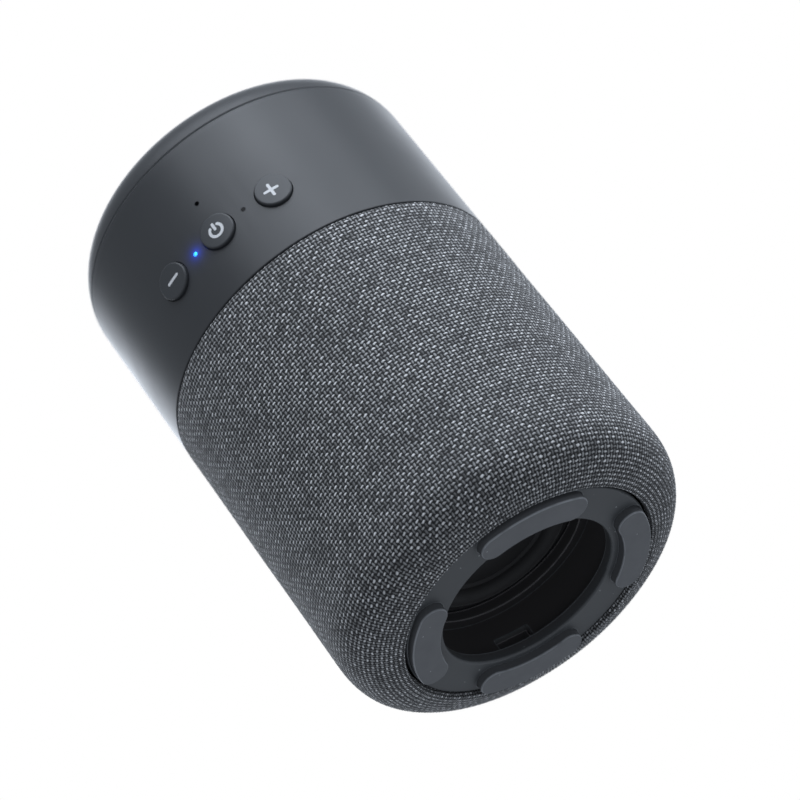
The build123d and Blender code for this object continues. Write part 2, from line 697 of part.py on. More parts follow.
# ---- Diffuser and deck --------------------------------------------------------------------------
DECK_HEAD_DEPTH = 1.5
BAND_SCREW = 1.1
BAND_SCREW_LENGTH = 6.8
STANDOFF_RADIUS = 2.5
STANDOFF_FLOOR = 0.5  # deck left under a board screw
TIP_FLAT = 1.5
TIP_DIRECTION = (1, 0.3)  # the diffuser's cone leaves its tip and meets its plate on these slopes
BRIM_DIRECTION = (1, 0.1)
BOARD_SCREW = 0.9
band_screw_points = circle_of(BAND_SCREW_CIRCLE, BAND_SCREW_AZIMUTHS)
board_points = [Vector(side * BOARD_SCREW_X, y) for side in (-1, 1) for y in BOARD_SCREW_Y]
post_points = circle_of(flex_back - POST_INSET, POST_AZIMUTHS)

with BuildPart() as diffuser:
    with BuildSketch(Plane.XY.offset(diffuser_bottom)):
        Circle(DIFFUSER_RADIUS)
    extrude(amount=DIFFUSER_THICK)
    with BuildSketch(Plane.XZ):
        with BuildLine():
            Spline(
                (TIP_FLAT, DIFFUSER_TIP),
                (DIFFUSER_CONE, diffuser_bottom),
                tangents=(TIP_DIRECTION, BRIM_DIRECTION),
            )
            Polyline(
                (DIFFUSER_CONE, diffuser_bottom),
                (0, diffuser_bottom),
                (0, DIFFUSER_TIP),
                (TIP_FLAT, DIFFUSER_TIP),
            )
        make_face()
    revolve(axis=Axis.Z)
    extrude(dots(stack_points, PILLAR_RADIUS, baffle_top), amount=diffuser_bottom - baffle_top)
    extrude(
        dots(stack_points, STACK_SCREW + SCREW_PLAY, baffle_top),
        amount=DECK_BOTTOM - baffle_top,
        mode=Mode.SUBTRACT,
    )
    extrude(
        dots(cable_points, CABLE_HOLE, diffuser_bottom),
        amount=DIFFUSER_THICK,
        mode=Mode.SUBTRACT,
    )
diffuser.part.label = "diffuser"
export_step(diffuser.part, "parts/diffuser.step")

with BuildPart() as mid_deck:
    with BuildSketch(Plane.XY.offset(DECK_BOTTOM)):
        Circle(DECK_RADIUS)
    extrude(amount=BAND_BOTTOM - DECK_BOTTOM)
    extrude(dots(board_points, STANDOFF_RADIUS, BAND_BOTTOM), amount=BOARD_BOTTOM - BAND_BOTTOM)
    # The long screws sink in from above; the band's and the bracket's sink in from below.
    extrude(
        dots(stack_points, HEAD_WIDTH * STACK_SCREW + SCREW_PLAY, BAND_BOTTOM),
        amount=-DECK_HEAD_DEPTH,
        mode=Mode.SUBTRACT,
    )
    extrude(
        dots(band_screw_points + post_points, HEAD_WIDTH * BAND_SCREW + SCREW_PLAY, DECK_BOTTOM),
        amount=DECK_HEAD_DEPTH,
        mode=Mode.SUBTRACT,
    )
    for points, radius in (
        (stack_points, STACK_SCREW + SCREW_PLAY),
        (band_screw_points + post_points, BAND_SCREW + SCREW_PLAY),
        (cable_points, CABLE_HOLE),
    ):
        extrude(
            dots(points, radius, DECK_BOTTOM),
            amount=BAND_BOTTOM - DECK_BOTTOM,
            mode=Mode.SUBTRACT,
        )
    extrude(
        dots(board_points, BOARD_SCREW + SCREW_FIT, BOARD_BOTTOM),
        amount=DECK_BOTTOM + STANDOFF_FLOOR - BOARD_BOTTOM,
        mode=Mode.SUBTRACT,
    )
mid_deck.part.label = "mid_deck"
export_step(mid_deck.part, "parts/mid_deck.step")

stack_seat = BAND_BOTTOM - DECK_HEAD_DEPTH
stack_length = stack_seat - HOUSING_TOP + STACK_BOSS_LENGTH - 2 * BOSS_FLOOR
stack_screws = screws(stack_points, stack_seat, stack_length, STACK_SCREW, up=False)
stack_screws.part.label = "stack_screws"
export_step(stack_screws.part, "parts/stack_screws.step")

deck_seat = DECK_BOTTOM + DECK_HEAD_DEPTH
band_screws = screws(band_screw_points, deck_seat, BAND_SCREW_LENGTH, BAND_SCREW, up=True)
band_screws.part.label = "band_screws"
export_step(band_screws.part, "parts/band_screws.step")

bracket_screws = screws(post_points, deck_seat, BAND_SCREW_LENGTH, BAND_SCREW, up=True)
bracket_screws.part.label = "bracket_screws"
export_step(bracket_screws.part, "parts/bracket_screws.step")

# ---- Band and cover -----------------------------------------------------------------------------
shoulder_rise = OVERALL_HEIGHT - SHOULDER_START
hole_start = band_inner - CUT_MARGIN
hole_depth = SHELL_WALL + 2 * CUT_MARGIN
light_planes = [
    facing(STATUS_AZIMUTH, hole_start, STATUS_Z),
    facing(CHARGE_AZIMUTH, hole_start, CHARGE_Z),
    facing(FRONT, hole_start, MICROPHONE_Z),
]
port_z = board_top + PORT_HEIGHT / 2


def shoulder(depth):
    """The rounded upper outline as a solid of revolution, at a depth below the outside."""
    with BuildPart() as blank:
        with BuildSketch(Plane.XZ):
            with BuildLine():
                EllipticalCenterArc(
                    (BODY_RADIUS - SHOULDER_RADIAL, SHOULDER_START),
                    SHOULDER_RADIAL - depth,
                    shoulder_rise - depth,
                    arc_size=90,
                )
                Polyline(
                    (BODY_RADIUS - SHOULDER_RADIAL, OVERALL_HEIGHT - depth),
                    (0, OVERALL_HEIGHT - depth),
                    (0, BAND_BOTTOM),
                    (BODY_RADIUS - depth, BAND_BOTTOM),
                    (BODY_RADIUS - depth, SHOULDER_START),
                )
            make_face()
        revolve(axis=Axis.Z)
    return blank.part


with BuildPart() as top_band:
    add(shoulder(0.0))
    with BuildSketch(Plane.XY.offset(BAND_BOTTOM)):
        Circle(band_inner)
    extrude(amount=OVERALL_HEIGHT, mode=Mode.SUBTRACT)
    split(bisect_by=Plane.XY.offset(BAND_TOP), keep=Keep.BOTTOM)
    ends = top_band.edges().group_by(Axis.Z)
    for end in (ends[0], ends[-1]):
        fillet(end.sort_by(SortBy.LENGTH)[-1], SEAM_ROUND)
    extrude(dots(band_screw_points, BAND_BOSS, BAND_BOTTOM), amount=BAND_BOSS_TOP - BAND_BOTTOM)
    extrude(
        dots(band_screw_points, BAND_SCREW + SCREW_FIT, BAND_BOTTOM),
        amount=BAND_BOSS_TOP - BAND_BOTTOM - BOSS_FLOOR,
        mode=Mode.SUBTRACT,
    )
    for azimuth in BUTTONS.values():
        with BuildSketch(facing(azimuth, hole_start, BUTTON_Z)):
            Circle(BUTTON_RADIUS + SLIDE_GAP)
        extrude(amount=hole_depth, mode=Mode.SUBTRACT)
    with BuildSketch(*light_planes):
        Circle(LIGHT_HOLE)
    extrude(amount=hole_depth, mode=Mode.SUBTRACT)
    with BuildSketch(facing(REAR, hole_start, port_z)):
        SlotOverall(PORT_WIDTH + 2 * PORT_PLAY, PORT_HEIGHT + 2 * PORT_PLAY)
    extrude(amount=hole_depth, mode=Mode.SUBTRACT)
top_band.part.label = "top_band"
export_step(top_band.part, "parts/top_band.step")

COVER_WALL = 2.2
COVER_PLAY = 0.2
collar_outer = band_inner - COVER_PLAY

with BuildPart() as top_cover:
    add(shoulder(0.0))
    add(shoulder(COVER_WALL), mode=Mode.SUBTRACT)
    split(bisect_by=Plane.XY.offset(COVER_BOTTOM), keep=Keep.TOP)
    fillet(top_cover.edges().group_by(Axis.Z)[0].sort_by(SortBy.LENGTH)[-1], SEAM_ROUND)
    collar = ring(collar_outer - SHELL_WALL, collar_outer, COVER_BOTTOM - SKIRT_DROP)
    extrude(collar, amount=SKIRT_DROP + CUT_MARGIN)
top_cover.part.label = "top_cover"
export_step(top_cover.part, "parts/top_cover.step")

# ---- Buttons ------------------------------------------------------------------------------------
keeper_back = KEEPER_FRONT - KEEPER_THICK
stem_back = SWITCH_FRONT + 2.5 * BUTTON_TRAVEL
plunger_back = stem_back - PLUNGER_LENGTH
well_back = plunger_back - 1.25 * BUTTON_TRAVEL

for name, azimuth in BUTTONS.items():
    with BuildPart() as button:
        with BuildSketch(facing(azimuth, stem_back, BUTTON_Z)):
            Circle(STEM_RADIUS)
        extrude(amount=keeper_back - stem_back)
        with BuildSketch(facing(azimuth, keeper_back, BUTTON_Z)):
            Circle(KEEPER_RADIUS)
        extrude(amount=KEEPER_THICK)
        with BuildSketch(facing(azimuth, KEEPER_FRONT, BUTTON_Z)):
            Circle(BUTTON_RADIUS)
        extrude(amount=button_front - KEEPER_FRONT + CUT_MARGIN)
        # The face follows the curve of the band.
        Cylinder(button_front, 2 * OVERALL_HEIGHT, mode=Mode.INTERSECT)
        outward = Axis(origin=(0, 0, BUTTON_Z), direction=around(1.0, azimuth))
        fillet(button.faces().sort_by(outward)[-1].edges(), BUTTON_ROUND)
    button.part.label = f"{name}_button"
    export_step(button.part, f"parts/{name}_button.step")

    with BuildPart() as plunger:
        with BuildSketch(facing(azimuth, plunger_back, BUTTON_Z)):
            Circle(PLUNGER_RADIUS)
        extrude(amount=stem_back - plunger_back)
    plunger.part.label = f"{name}_plunger"
    export_step(plunger.part, f"parts/{name}_plunger.step")

with BuildPart() as switch_bodies:
    with BuildSketch(*[facing(azimuth, SWITCH_BACK, BUTTON_Z) for azimuth in BUTTONS.values()]):
        RectangleRounded(SWITCH_SIZE, SWITCH_SIZE, SWITCH_SIZE / 10)
    extrude(amount=SWITCH_FRONT - SWITCH_BACK)
    with BuildSketch(*[facing(azimuth, well_back, BUTTON_Z) for azimuth in BUTTONS.values()]):
        Circle(PLUNGER_RADIUS + SLIDE_GAP / 2)
    extrude(amount=SWITCH_FRONT - well_back, mode=Mode.SUBTRACT)
switch_bodies.part.label = "switch_bodies"
export_step(switch_bodies.part, "parts/switch_bodies.step")

PANEL_BOTTOM = 86.0
PANEL_TOP = 104.0
POST_HALF_ARC = 5.0
POST_DEPTH = 4.2
bracket_back = flex_back - BRACKET_WALL

with BuildPart() as button_board:
    outline = sector(flex_back, SWITCH_BACK, PANEL_START, PANEL_END, PANEL_BOTTOM + CUT_MARGIN)
    extrude(outline, amount=PANEL_TOP - PANEL_BOTTOM - CUT_MARGIN)
button_board.part.label = "button_board"
export_step(button_board.part, "parts/button_board.step")

with BuildPart() as button_bracket:
    outline = sector(bracket_back, flex_back, PANEL_START, PANEL_END, PANEL_BOTTOM)
    extrude(outline, amount=PANEL_TOP - PANEL_BOTTOM)
    for azimuth in POST_AZIMUTHS:
        post = sector(
            flex_back - POST_DEPTH,
            flex_back,
            azimuth - POST_HALF_ARC,
            azimuth + POST_HALF_ARC,
            BAND_BOTTOM,
        )
        extrude(post, amount=PANEL_BOTTOM + CUT_MARGIN - BAND_BOTTOM)
    extrude(
        dots(post_points, BAND_SCREW + SCREW_FIT, BAND_BOTTOM),
        amount=PANEL_BOTTOM - BAND_BOTTOM,
        mode=Mode.SUBTRACT,
    )
button_bracket.part.label = "button_bracket"
export_step(button_bracket.part, "parts/button_bracket.step")

# ---- Lights and microphone ----------------------------------------------------------------------
LED_THICK = 0.8
MICROPHONE_THICK = 1.0
MICROPHONE_WIDTH = 3.5
MICROPHONE_HEIGHT = 2.6
BOOT_RADIUS = 1.9
pipe_back = SWITCH_BACK + LED_THICK

with BuildPart() as led_chips:
    chip_planes = [
        facing(STATUS_AZIMUTH, SWITCH_BACK, STATUS_Z),
        facing(CHARGE_AZIMUTH, SWITCH_BACK, CHARGE_Z),
    ]
    with BuildSketch(*chip_planes):
        Rectangle(2 * LED_THICK, LED_THICK)
    extrude(amount=LED_THICK)
led_chips.part.label = "led_chips"
export_step(led_chips.part, "parts/led_chips.step")

for pipe_name, azimuth, height in (
    ("status_light_pipe", STATUS_AZIMUTH, STATUS_Z),
    ("charge_light_pipe", CHARGE_AZIMUTH, CHARGE_Z),
):
    with BuildPart() as pipe:
        with BuildSketch(facing(azimuth, pipe_back, height)):
            Circle(LIGHT_RADIUS)
        extrude(amount=BODY_RADIUS - pipe_back)
        with BuildSketch(facing(azimuth, pipe_back, height)):
            Circle(2 * LIGHT_RADIUS)
        extrude(amount=LED_THICK)
    pipe.part.label = pipe_name
    export_step(pipe.part, f"parts/{pipe_name}.step")

with BuildPart() as microphone:
    with BuildSketch(facing(FRONT, SWITCH_BACK, MICROPHONE_Z)):
        RectangleRounded(MICROPHONE_WIDTH, MICROPHONE_HEIGHT, MICROPHONE_HEIGHT / 10)
    extrude(amount=MICROPHONE_THICK)
microphone.part.label = "microphone"
export_step(microphone.part, "parts/microphone.step")

with BuildPart() as microphone_boot:
    with BuildSketch(facing(FRONT, SWITCH_BACK + MICROPHONE_THICK, MICROPHONE_Z)):
        Circle(BOOT_RADIUS)
        Circle(LIGHT_HOLE, mode=Mode.SUBTRACT)
    extrude(amount=band_inner - SLIDE_GAP / 2 - SWITCH_BACK - MICROPHONE_THICK)
microphone_boot.part.label = "microphone_boot"
export_step(microphone_boot.part, "parts/microphone_boot.step")

# ---- Main board and charging port ---------------------------------------------------------------
BOARD_HALF_WIDTH = 24.0
BOARD_FRONT = -20.0
BOARD_REAR = 31.0
BOARD_TAB_HALF = 4.6
BOARD_TAB_REAR = 35.0
BOARD_LIMIT = 36.0

with BuildPart() as main_board:
    with BuildSketch(Plane.XY.offset(BOARD_BOTTOM)):
        with Locations((0, BOARD_FRONT)):
            Rectangle(
                2 * BOARD_HALF_WIDTH,
                BOARD_REAR - BOARD_FRONT,
                align=(Align.CENTER, Align.MIN),
            )
            Rectangle(
                2 * BOARD_TAB_HALF,
                BOARD_TAB_REAR - BOARD_FRONT,
                align=(Align.CENTER, Align.MIN),
            )
        Circle(BOARD_LIMIT, mode=Mode.INTERSECT)
        with Locations(*[(point.X, point.Y) for point in band_screw_points]):
            Circle(BAND_BOSS + SCREW_PLAY, mode=Mode.SUBTRACT)
        with Locations(*[(point.X, point.Y) for point in board_points]):
            Circle(BOARD_SCREW + SCREW_PLAY, mode=Mode.SUBTRACT)
    extrude(amount=BOARD_THICK)
main_board.part.label = "main_board"
export_step(main_board.part, "parts/main_board.step")

# (x, y, length, width, height) of each chip and can on the board
COMPONENTS = (
    (-8.0, 14.0, 12.0, 9.0, 1.6),
    (8.0, 14.0, 6.0, 6.0, 0.9),
    (-4.0, 0.0, 5.0, 5.0, 0.9),
    (6.0, 2.0, 4.0, 4.0, 2.0),
    (12.0, 2.0, 4.0, 4.0, 2.0),
    (0.0, -12.0, 8.0, 5.0, 1.2),
)
CONNECTOR_X = -17.0
CONNECTOR_SIZE = (4.0, 5.0, 3.0)
CAPACITOR_POINTS = ((18.0, 8.0), (18.0, 14.0))
CAPACITOR_RADIUS = 2.4
CAPACITOR_HEIGHT = 2.8

with BuildPart(Plane.XY.offset(board_top)) as board_components:
    for x, y, length, width, height in COMPONENTS:
        with Locations((x, y)):
            Box(length, width, height, align=(Align.CENTER, Align.CENTER, Align.MIN))
    with Locations((CONNECTOR_X, CELL_Y)):
        Box(*CONNECTOR_SIZE, align=(Align.CENTER, Align.CENTER, Align.MIN))
    with Locations(*CAPACITOR_POINTS):
        Cylinder(
            CAPACITOR_RADIUS,
            CAPACITOR_HEIGHT,
            align=(Align.CENTER, Align.CENTER, Align.MIN),
        )
board_components.part.label = "board_components"
export_step(board_components.part, "parts/board_components.step")

PORT_WALL = 0.4
TONGUE_WIDTH = 6.6
TONGUE_THICK = 0.7
port_back = PORT_FRONT - PORT_DEPTH

with BuildPart() as usb_port:
    with BuildSketch(facing(REAR, port_back, port_z)):
        SlotOverall(PORT_WIDTH, PORT_HEIGHT)
    extrude(amount=PORT_DEPTH)
    with BuildSketch(facing(REAR, port_back + CUT_MARGIN, port_z)):
        SlotOverall(PORT_WIDTH - 2 * PORT_WALL, PORT_HEIGHT - 2 * PORT_WALL)
        Rectangle(TONGUE_WIDTH, TONGUE_THICK, mode=Mode.SUBTRACT)
    extrude(amount=PORT_DEPTH, mode=Mode.SUBTRACT)
usb_port.part.label = "usb_port"
export_step(usb_port.part, "parts/usb_port.step")

# ---- Battery ------------------------------------------------------------------------------------
CRADLE_HALF_WIDTH = 23.5
CRADLE_FRONT = -17.5
CRADLE_REAR = 29.5
CRADLE_POST = 3.0
SADDLE_X = 18.0
SADDLE_WIDTH = 5.0
SADDLE_TOP = 96.0
SADDLE_HALF = 11.5
CELL_PLAY = 0.05
STRAP_WIDTH = 14.0
STRAP_THICK = 0.5
CELL_BUTTON = 0.8
BOARD_SCREW_LENGTH = 8.0
cell_reach = CELL_RADIUS + CELL_PLAY

with BuildPart() as battery_cell:
    with BuildSketch(Plane.YZ.offset(-CELL_LENGTH / 2)):
        with Locations((CELL_Y, CELL_Z)):
            Circle(CELL_RADIUS)
    extrude(amount=CELL_LENGTH - CELL_BUTTON)
    fillet(battery_cell.edges().filter_by(GeomType.CIRCLE), CELL_RADIUS / 12)
    with BuildSketch(Plane.YZ.offset(CELL_LENGTH / 2 - CELL_BUTTON)):
        with Locations((CELL_Y, CELL_Z)):
            Circle(CELL_RADIUS / 3)
    extrude(amount=CELL_BUTTON)
battery_cell.part.label = "battery_cell"
export_step(battery_cell.part, "parts/battery_cell.step")

with BuildPart() as battery_cradle:
    with BuildSketch(Plane.XY.offset(CRADLE_BOTTOM)):
        with Locations((0, (CRADLE_FRONT + CRADLE_REAR) / 2)):
            RectangleRounded(2 * CRADLE_HALF_WIDTH, CRADLE_REAR - CRADLE_FRONT, CRADLE_POST)
    extrude(amount=CRADLE_THICK)
    extrude(dots(board_points, CRADLE_POST, board_top), amount=CRADLE_BOTTOM - board_top)
    for side in (-1, 1):
        with BuildSketch(Plane.YZ.offset(side * SADDLE_X - SADDLE_WIDTH / 2)):
            with Locations((CELL_Y, cradle_top)):
                Rectangle(2 * SADDLE_HALF, SADDLE_TOP - cradle_top, align=(Align.CENTER, Align.MIN))
            with Locations((CELL_Y, CELL_Z)):
                Circle(cell_reach, mode=Mode.SUBTRACT)
        extrude(amount=SADDLE_WIDTH)
    extrude(
        dots(board_points, BOARD_SCREW + SCREW_PLAY, board_top),
        amount=cradle_top - board_top,
        mode=Mode.SUBTRACT,
    )
battery_cradle.part.label = "battery_cradle"
export_step(battery_cradle.part, "parts/battery_cradle.step")

board_screws = screws(board_points, cradle_top, BOARD_SCREW_LENGTH, BOARD_SCREW, up=False)
board_screws.part.label = "board_screws"
export_step(board_screws.part, "parts/board_screws.step")

with BuildPart() as battery_strap:
    with BuildSketch(Plane.YZ.offset(-STRAP_WIDTH / 2)):
        for reach, mode in ((cell_reach + STRAP_THICK, Mode.ADD), (cell_reach, Mode.SUBTRACT)):
            with Locations((CELL_Y, CELL_Z)):
                Circle(reach, mode=mode)
            with Locations((CELL_Y, cradle_top)):
                Rectangle(2 * reach, CELL_Z - cradle_top, align=(Align.CENTER, Align.MIN), mode=mode)
    extrude(amount=STRAP_WIDTH)
battery_strap.part.label = "battery_strap"
export_step(battery_strap.part, "parts/battery_strap.step")

# ---- Cables -------------------------------------------------------------------------------------
CABLE_BEND = 1.6
TERMINAL_DEPTH = 7.0
battery_cable_x = -CELL_LENGTH / 2 - 1.5 * CABLE_BEND
battery_cable_z = board_top + CONNECTOR_SIZE[2] / 2
connector_face = CONNECTOR_X - CONNECTOR_SIZE[0] / 2
terminal_z = flange_bottom - TERMINAL_DEPTH
terminal_radius = FLANGE_INNER - SCREW_PLAY

with BuildPart() as battery_cable:
    with BuildLine():
        FilletPolyline(
            (-CELL_LENGTH / 2, CELL_Y, CELL_Z),
            (battery_cable_x, CELL_Y, CELL_Z),
            (battery_cable_x, CELL_Y, battery_cable_z),
            (connector_face, CELL_Y, battery_cable_z),
            radius=CABLE_BEND,
        )
    with BuildSketch(Plane.YZ.offset(-CELL_LENGTH / 2)):
        with Locations((CELL_Y, CELL_Z)):
            Circle(CABLE_RADIUS)
    sweep()
battery_cable.part.label = "battery_cable"
export_step(battery_cable.part, "parts/battery_cable.step")

with BuildPart() as speaker_cable:
    with BuildLine():
        FilletPolyline(
            around(CABLE_CIRCLE, CABLE_AZIMUTH, BOARD_BOTTOM),
            around(CABLE_CIRCLE, CABLE_AZIMUTH, terminal_z),
            around(terminal_radius, CABLE_AZIMUTH, terminal_z),
            radius=CABLE_BEND,
        )
    with BuildSketch(Plane.XY.offset(BOARD_BOTTOM)):
        with Locations(around(CABLE_CIRCLE, CABLE_AZIMUTH)):
            Circle(CABLE_RADIUS)
    sweep()
speaker_cable.part.label = "speaker_cable"
export_step(speaker_cable.part, "parts/speaker_cable.step")
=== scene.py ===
import json
import math

import bpy
import numpy as np
from mathutils import Matrix, Vector


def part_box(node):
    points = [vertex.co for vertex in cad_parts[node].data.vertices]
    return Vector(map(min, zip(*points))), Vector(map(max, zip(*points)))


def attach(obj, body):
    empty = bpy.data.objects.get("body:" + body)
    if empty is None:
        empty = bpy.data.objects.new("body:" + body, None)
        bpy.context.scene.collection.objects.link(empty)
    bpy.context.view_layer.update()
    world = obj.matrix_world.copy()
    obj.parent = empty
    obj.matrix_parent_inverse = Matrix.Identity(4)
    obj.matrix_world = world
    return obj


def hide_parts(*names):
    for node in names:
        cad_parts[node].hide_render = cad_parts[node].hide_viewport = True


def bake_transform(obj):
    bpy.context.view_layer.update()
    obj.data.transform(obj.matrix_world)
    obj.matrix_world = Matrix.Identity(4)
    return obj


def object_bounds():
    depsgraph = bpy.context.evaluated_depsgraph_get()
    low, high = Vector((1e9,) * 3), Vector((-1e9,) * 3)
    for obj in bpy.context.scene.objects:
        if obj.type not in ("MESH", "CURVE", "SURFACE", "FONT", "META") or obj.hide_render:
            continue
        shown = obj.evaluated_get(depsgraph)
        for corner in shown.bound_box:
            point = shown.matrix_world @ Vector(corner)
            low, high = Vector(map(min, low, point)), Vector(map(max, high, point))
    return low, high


# The looks of a portable bluetooth speaker. The woven sleeve, the rubber rolls, the spider and the
# button symbols are new meshes; every other piece is its CAD node with a procedural finish.
# Metres, in the CAD's own frame: +Z up the cylinder's axis, the buttons facing -Y.

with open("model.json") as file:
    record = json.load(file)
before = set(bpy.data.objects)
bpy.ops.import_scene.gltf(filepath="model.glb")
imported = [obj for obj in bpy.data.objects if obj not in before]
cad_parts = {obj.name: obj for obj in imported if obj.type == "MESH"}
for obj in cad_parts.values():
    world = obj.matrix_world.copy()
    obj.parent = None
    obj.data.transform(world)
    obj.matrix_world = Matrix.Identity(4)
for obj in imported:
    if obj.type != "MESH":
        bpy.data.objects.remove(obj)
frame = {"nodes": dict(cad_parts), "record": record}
cad_low, cad_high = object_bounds()

MM = 0.001
AXIS_UP = Vector((0.0, 0.0, 1.0))


def outer_radius(node):
    """How far a round CAD node reaches from the axis."""
    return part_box(node)[1].x


def bottom(node):
    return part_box(node)[0].z


def top(node):
    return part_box(node)[1].z


# ---- Node graphs --------------------------------------------------------------------------------
class Value:
    """A number flowing through a finish's nodes, which the usual signs combine with others."""

    def __init__(self, finish, socket):
        self.finish = finish
        self.socket = socket

    def __add__(self, other):
        return self.finish.maths("ADD", self, other)

    def __sub__(self, other):
        return self.finish.maths("SUBTRACT", self, other)

    def __mul__(self, other):
        return self.finish.maths("MULTIPLY", self, other)

    def __pow__(self, other):
        return self.finish.maths("POWER", self, other)

    def __gt__(self, other):
        return self.finish.maths("GREATER_THAN", self, other)

    def __lt__(self, other):
        return self.finish.maths("LESS_THAN", self, other)

    def __abs__(self):
        return self.finish.maths("ABSOLUTE", self)

    def sine(self):
        return self.finish.maths("SINE", self)

    def cosine(self):
        return self.finish.maths("COSINE", self)

    def larger(self, other):
        return self.finish.maths("MAXIMUM", self, other)

    def clipped(self):
        """The value held between 0 and 1."""
        node = self.finish.add("ShaderNodeClamp", {"Value": self})
        return Value(self.finish, node.outputs["Result"])

    def floor(self):
        return self.finish.maths("FLOOR", self)

    def between(self, low, high):
        """0 below the low limit, 1 above the high one, smooth in between."""
        node = self.finish.add(
            "ShaderNodeMapRange",
            {"Value": self, "From Min": low, "From Max": high},
            interpolation_type="SMOOTHSTEP",
        )
        return Value(self.finish, node.outputs["Result"])


class Finish:
    """A material or world under construction: its node tree and the calls the finishes share."""

    def __init__(self, holder):
        holder.use_nodes = True
        self.holder = holder
        self.tree = holder.node_tree
        self.place = self.add("ShaderNodeTexCoord").outputs["Object"]

    def feed(self, socket, value):
        """Sets an input to a plain value, or joins it to another node's output."""
        if isinstance(value, Value):
            value = value.socket
        if isinstance(value, bpy.types.NodeSocket):
            self.tree.links.new(value, socket)
        else:
            socket.default_value = value

    def add(self, kind, inputs=None, **settings):
        node = self.tree.nodes.new(kind)
        for name, value in settings.items():
            setattr(node, name, value)
        for name, value in (inputs or {}).items():
            self.feed(node.inputs[name], value)
        return node

    def maths(self, operation, *terms):
        node = self.add("ShaderNodeMath", operation=operation)
        for socket, term in zip(node.inputs, terms):
            self.feed(socket, term)
        return Value(self, node.outputs["Value"])

    def stretched(self, stretch, place=None):
        """The place, multiplied per axis, so that a pattern on it comes out longer or shorter."""
        node = self.add(
            "ShaderNodeVectorMath", {0: place or self.place, 1: stretch}, operation="MULTIPLY"
        )
        return node.outputs["Vector"]

    def noise(self, size, detail=2.0, place=None):
        """Soft noise from 0 to 1 with features about that many metres across."""
        node = self.add(
            "ShaderNodeTexNoise",
            {"Vector": place or self.place, "Scale": 1.0 / size, "Detail": detail},
        )
        return Value(self, node.outputs["Fac"])

    def cells(self, size):
        """Distance from the middle of the nearest cell, in cells about that many metres across."""
        node = self.add("ShaderNodeTexVoronoi", {"Vector": self.place, "Scale": 1.0 / size})
        return Value(self, node.outputs["Distance"])

    def axis(self, name, place=None):
        """One coordinate of the place, in metres."""
        node = self.add("ShaderNodeSeparateXYZ", {"Vector": place or self.place})
        return Value(self, node.outputs[name])

    def radius(self):
        """Distance from the speaker's axis."""
        x, y = self.axis("X"), self.axis("Y")
        return (x * x + y * y) ** 0.5

    def distance(self, point):
        node = self.add(
            "ShaderNodeVectorMath", {0: self.place, 1: tuple(point)}, operation="DISTANCE"
        )
        return Value(self, node.outputs["Value"])

    def mix(self, share, first, second):
        """The first colour at share 0, the second at share 1."""
        node = self.add("ShaderNodeMix", data_type="RGBA")
        colours = [socket for socket in node.inputs if socket.type == "RGBA"]
        self.feed(node.inputs["Factor"], share)
        for socket, colour in zip(colours, (first, second)):
            self.feed(socket, colour if isinstance(colour, bpy.types.NodeSocket) else rgba(colour))
        return next(socket for socket in node.outputs if socket.type == "RGBA")

    def bump(self, height, depth):
        """A normal tilted by a height from 0 to 1 that stands for that many metres."""
        return self.add("ShaderNodeBump", {"Height": height, "Distance": depth}).outputs["Normal"]


def rgba(colour):
    return (*colour, 1.0)


def shade(colour, factor):
    return tuple(channel * factor for channel in colour)


class Surface(Finish):
    """A material that ends in one Principled shader."""

    def __init__(self, name):
        super().__init__(bpy.data.materials.new(name))
        self.shader = self.tree.nodes["Principled BSDF"]

    def set(self, **values):
        """Feeds the shader's inputs, base_color for Base Color and so on."""
        for name, value in values.items():
            socket = self.shader.inputs[name.replace("_", " ").title().replace("Ior", "IOR")]
            self.feed(socket, value)
        return self.holder


# ---- Finishes -----------------------------------------------------------------------------------
CLOUD = 14 * MM  # size of the slow changes of tone over a moulding
SPECK_SPACING = 2.4 * MM
DUST_CLOUD = 7 * MM
DUST = 0.075  # radius of a speck, as a share of their spacing
# pale dust specks; the same tone also paints light into the band's seam and the well's windows
DUST_AND_PAINTED_LIGHT_TONE = (0.30, 0.31, 0.32)
EDGE_WIDTH = 0.45 * MM  # how far from an edge the paleness reaches, rubbing and painted highlight alike
WELL_RADIUS = 22.8 * MM  # just past the face of the well's wall, so only its windows lie beyond
SEAM = 0.25 * MM  # width of the groove between the band and the cover
LIGHT_GLOW = 0.8 * MM  # over this distance the painted glow of the status light in the shell falls to a third


def worn_tone(surface, colour, variation, dust):
    """The base colour, clouded slightly and carrying sparse pale specks of dust."""
    cloud = surface.noise(CLOUD, 3.0)
    clouded = surface.mix(cloud, shade(colour, 1 - variation), shade(colour, 1 + variation))
    if not dust:
        return clouded
    settled = surface.noise(DUST_CLOUD, 1.0).between(0.42, 0.62)
    speck = surface.cells(SPECK_SPACING) < (settled * dust)
    return surface.mix(speck, clouded, DUST_AND_PAINTED_LIGHT_TONE)


def pale_edges_worn_and_highlit(surface, tone, pale):
    """The tone, paler along the part's edges: partly rubbed by handling, partly a painted highlight
    where the edges catch light.
    """
    rounded = surface.add("ShaderNodeBevel", {"Radius": EDGE_WIDTH}, samples=6).outputs["Normal"]
    true = surface.add("ShaderNodeNewGeometry").outputs["Normal"]
    agreement = surface.add("ShaderNodeVectorMath", {0: rounded, 1: true}, operation="DOT_PRODUCT")
    edge = (Value(surface, agreement.outputs["Value"]) * -1.0 + 1.0).between(0.003, 0.04)
    worn = surface.noise(3 * MM, 3.0).between(0.0, 0.55)
    return surface.mix(edge * worn, tone, pale)


def moulded(name, colour, roughness, grain=0.16 * MM, depth=0.004 * MM, variation=0.08):
    """Moulded plastic or rubber: an even tone, a spark-eroded grain and softly handled patches."""
    surface = Surface(name)
    handled = surface.noise(CLOUD / 2, 4.0)
    texture = surface.noise(grain, 2.0)
    return surface.set(
        base_color=worn_tone(surface, colour, variation, 0.0),
        roughness=handled.between(0.2, 0.8) * 0.08 + (roughness - 0.04),
        normal=surface.bump(texture, depth),
    )


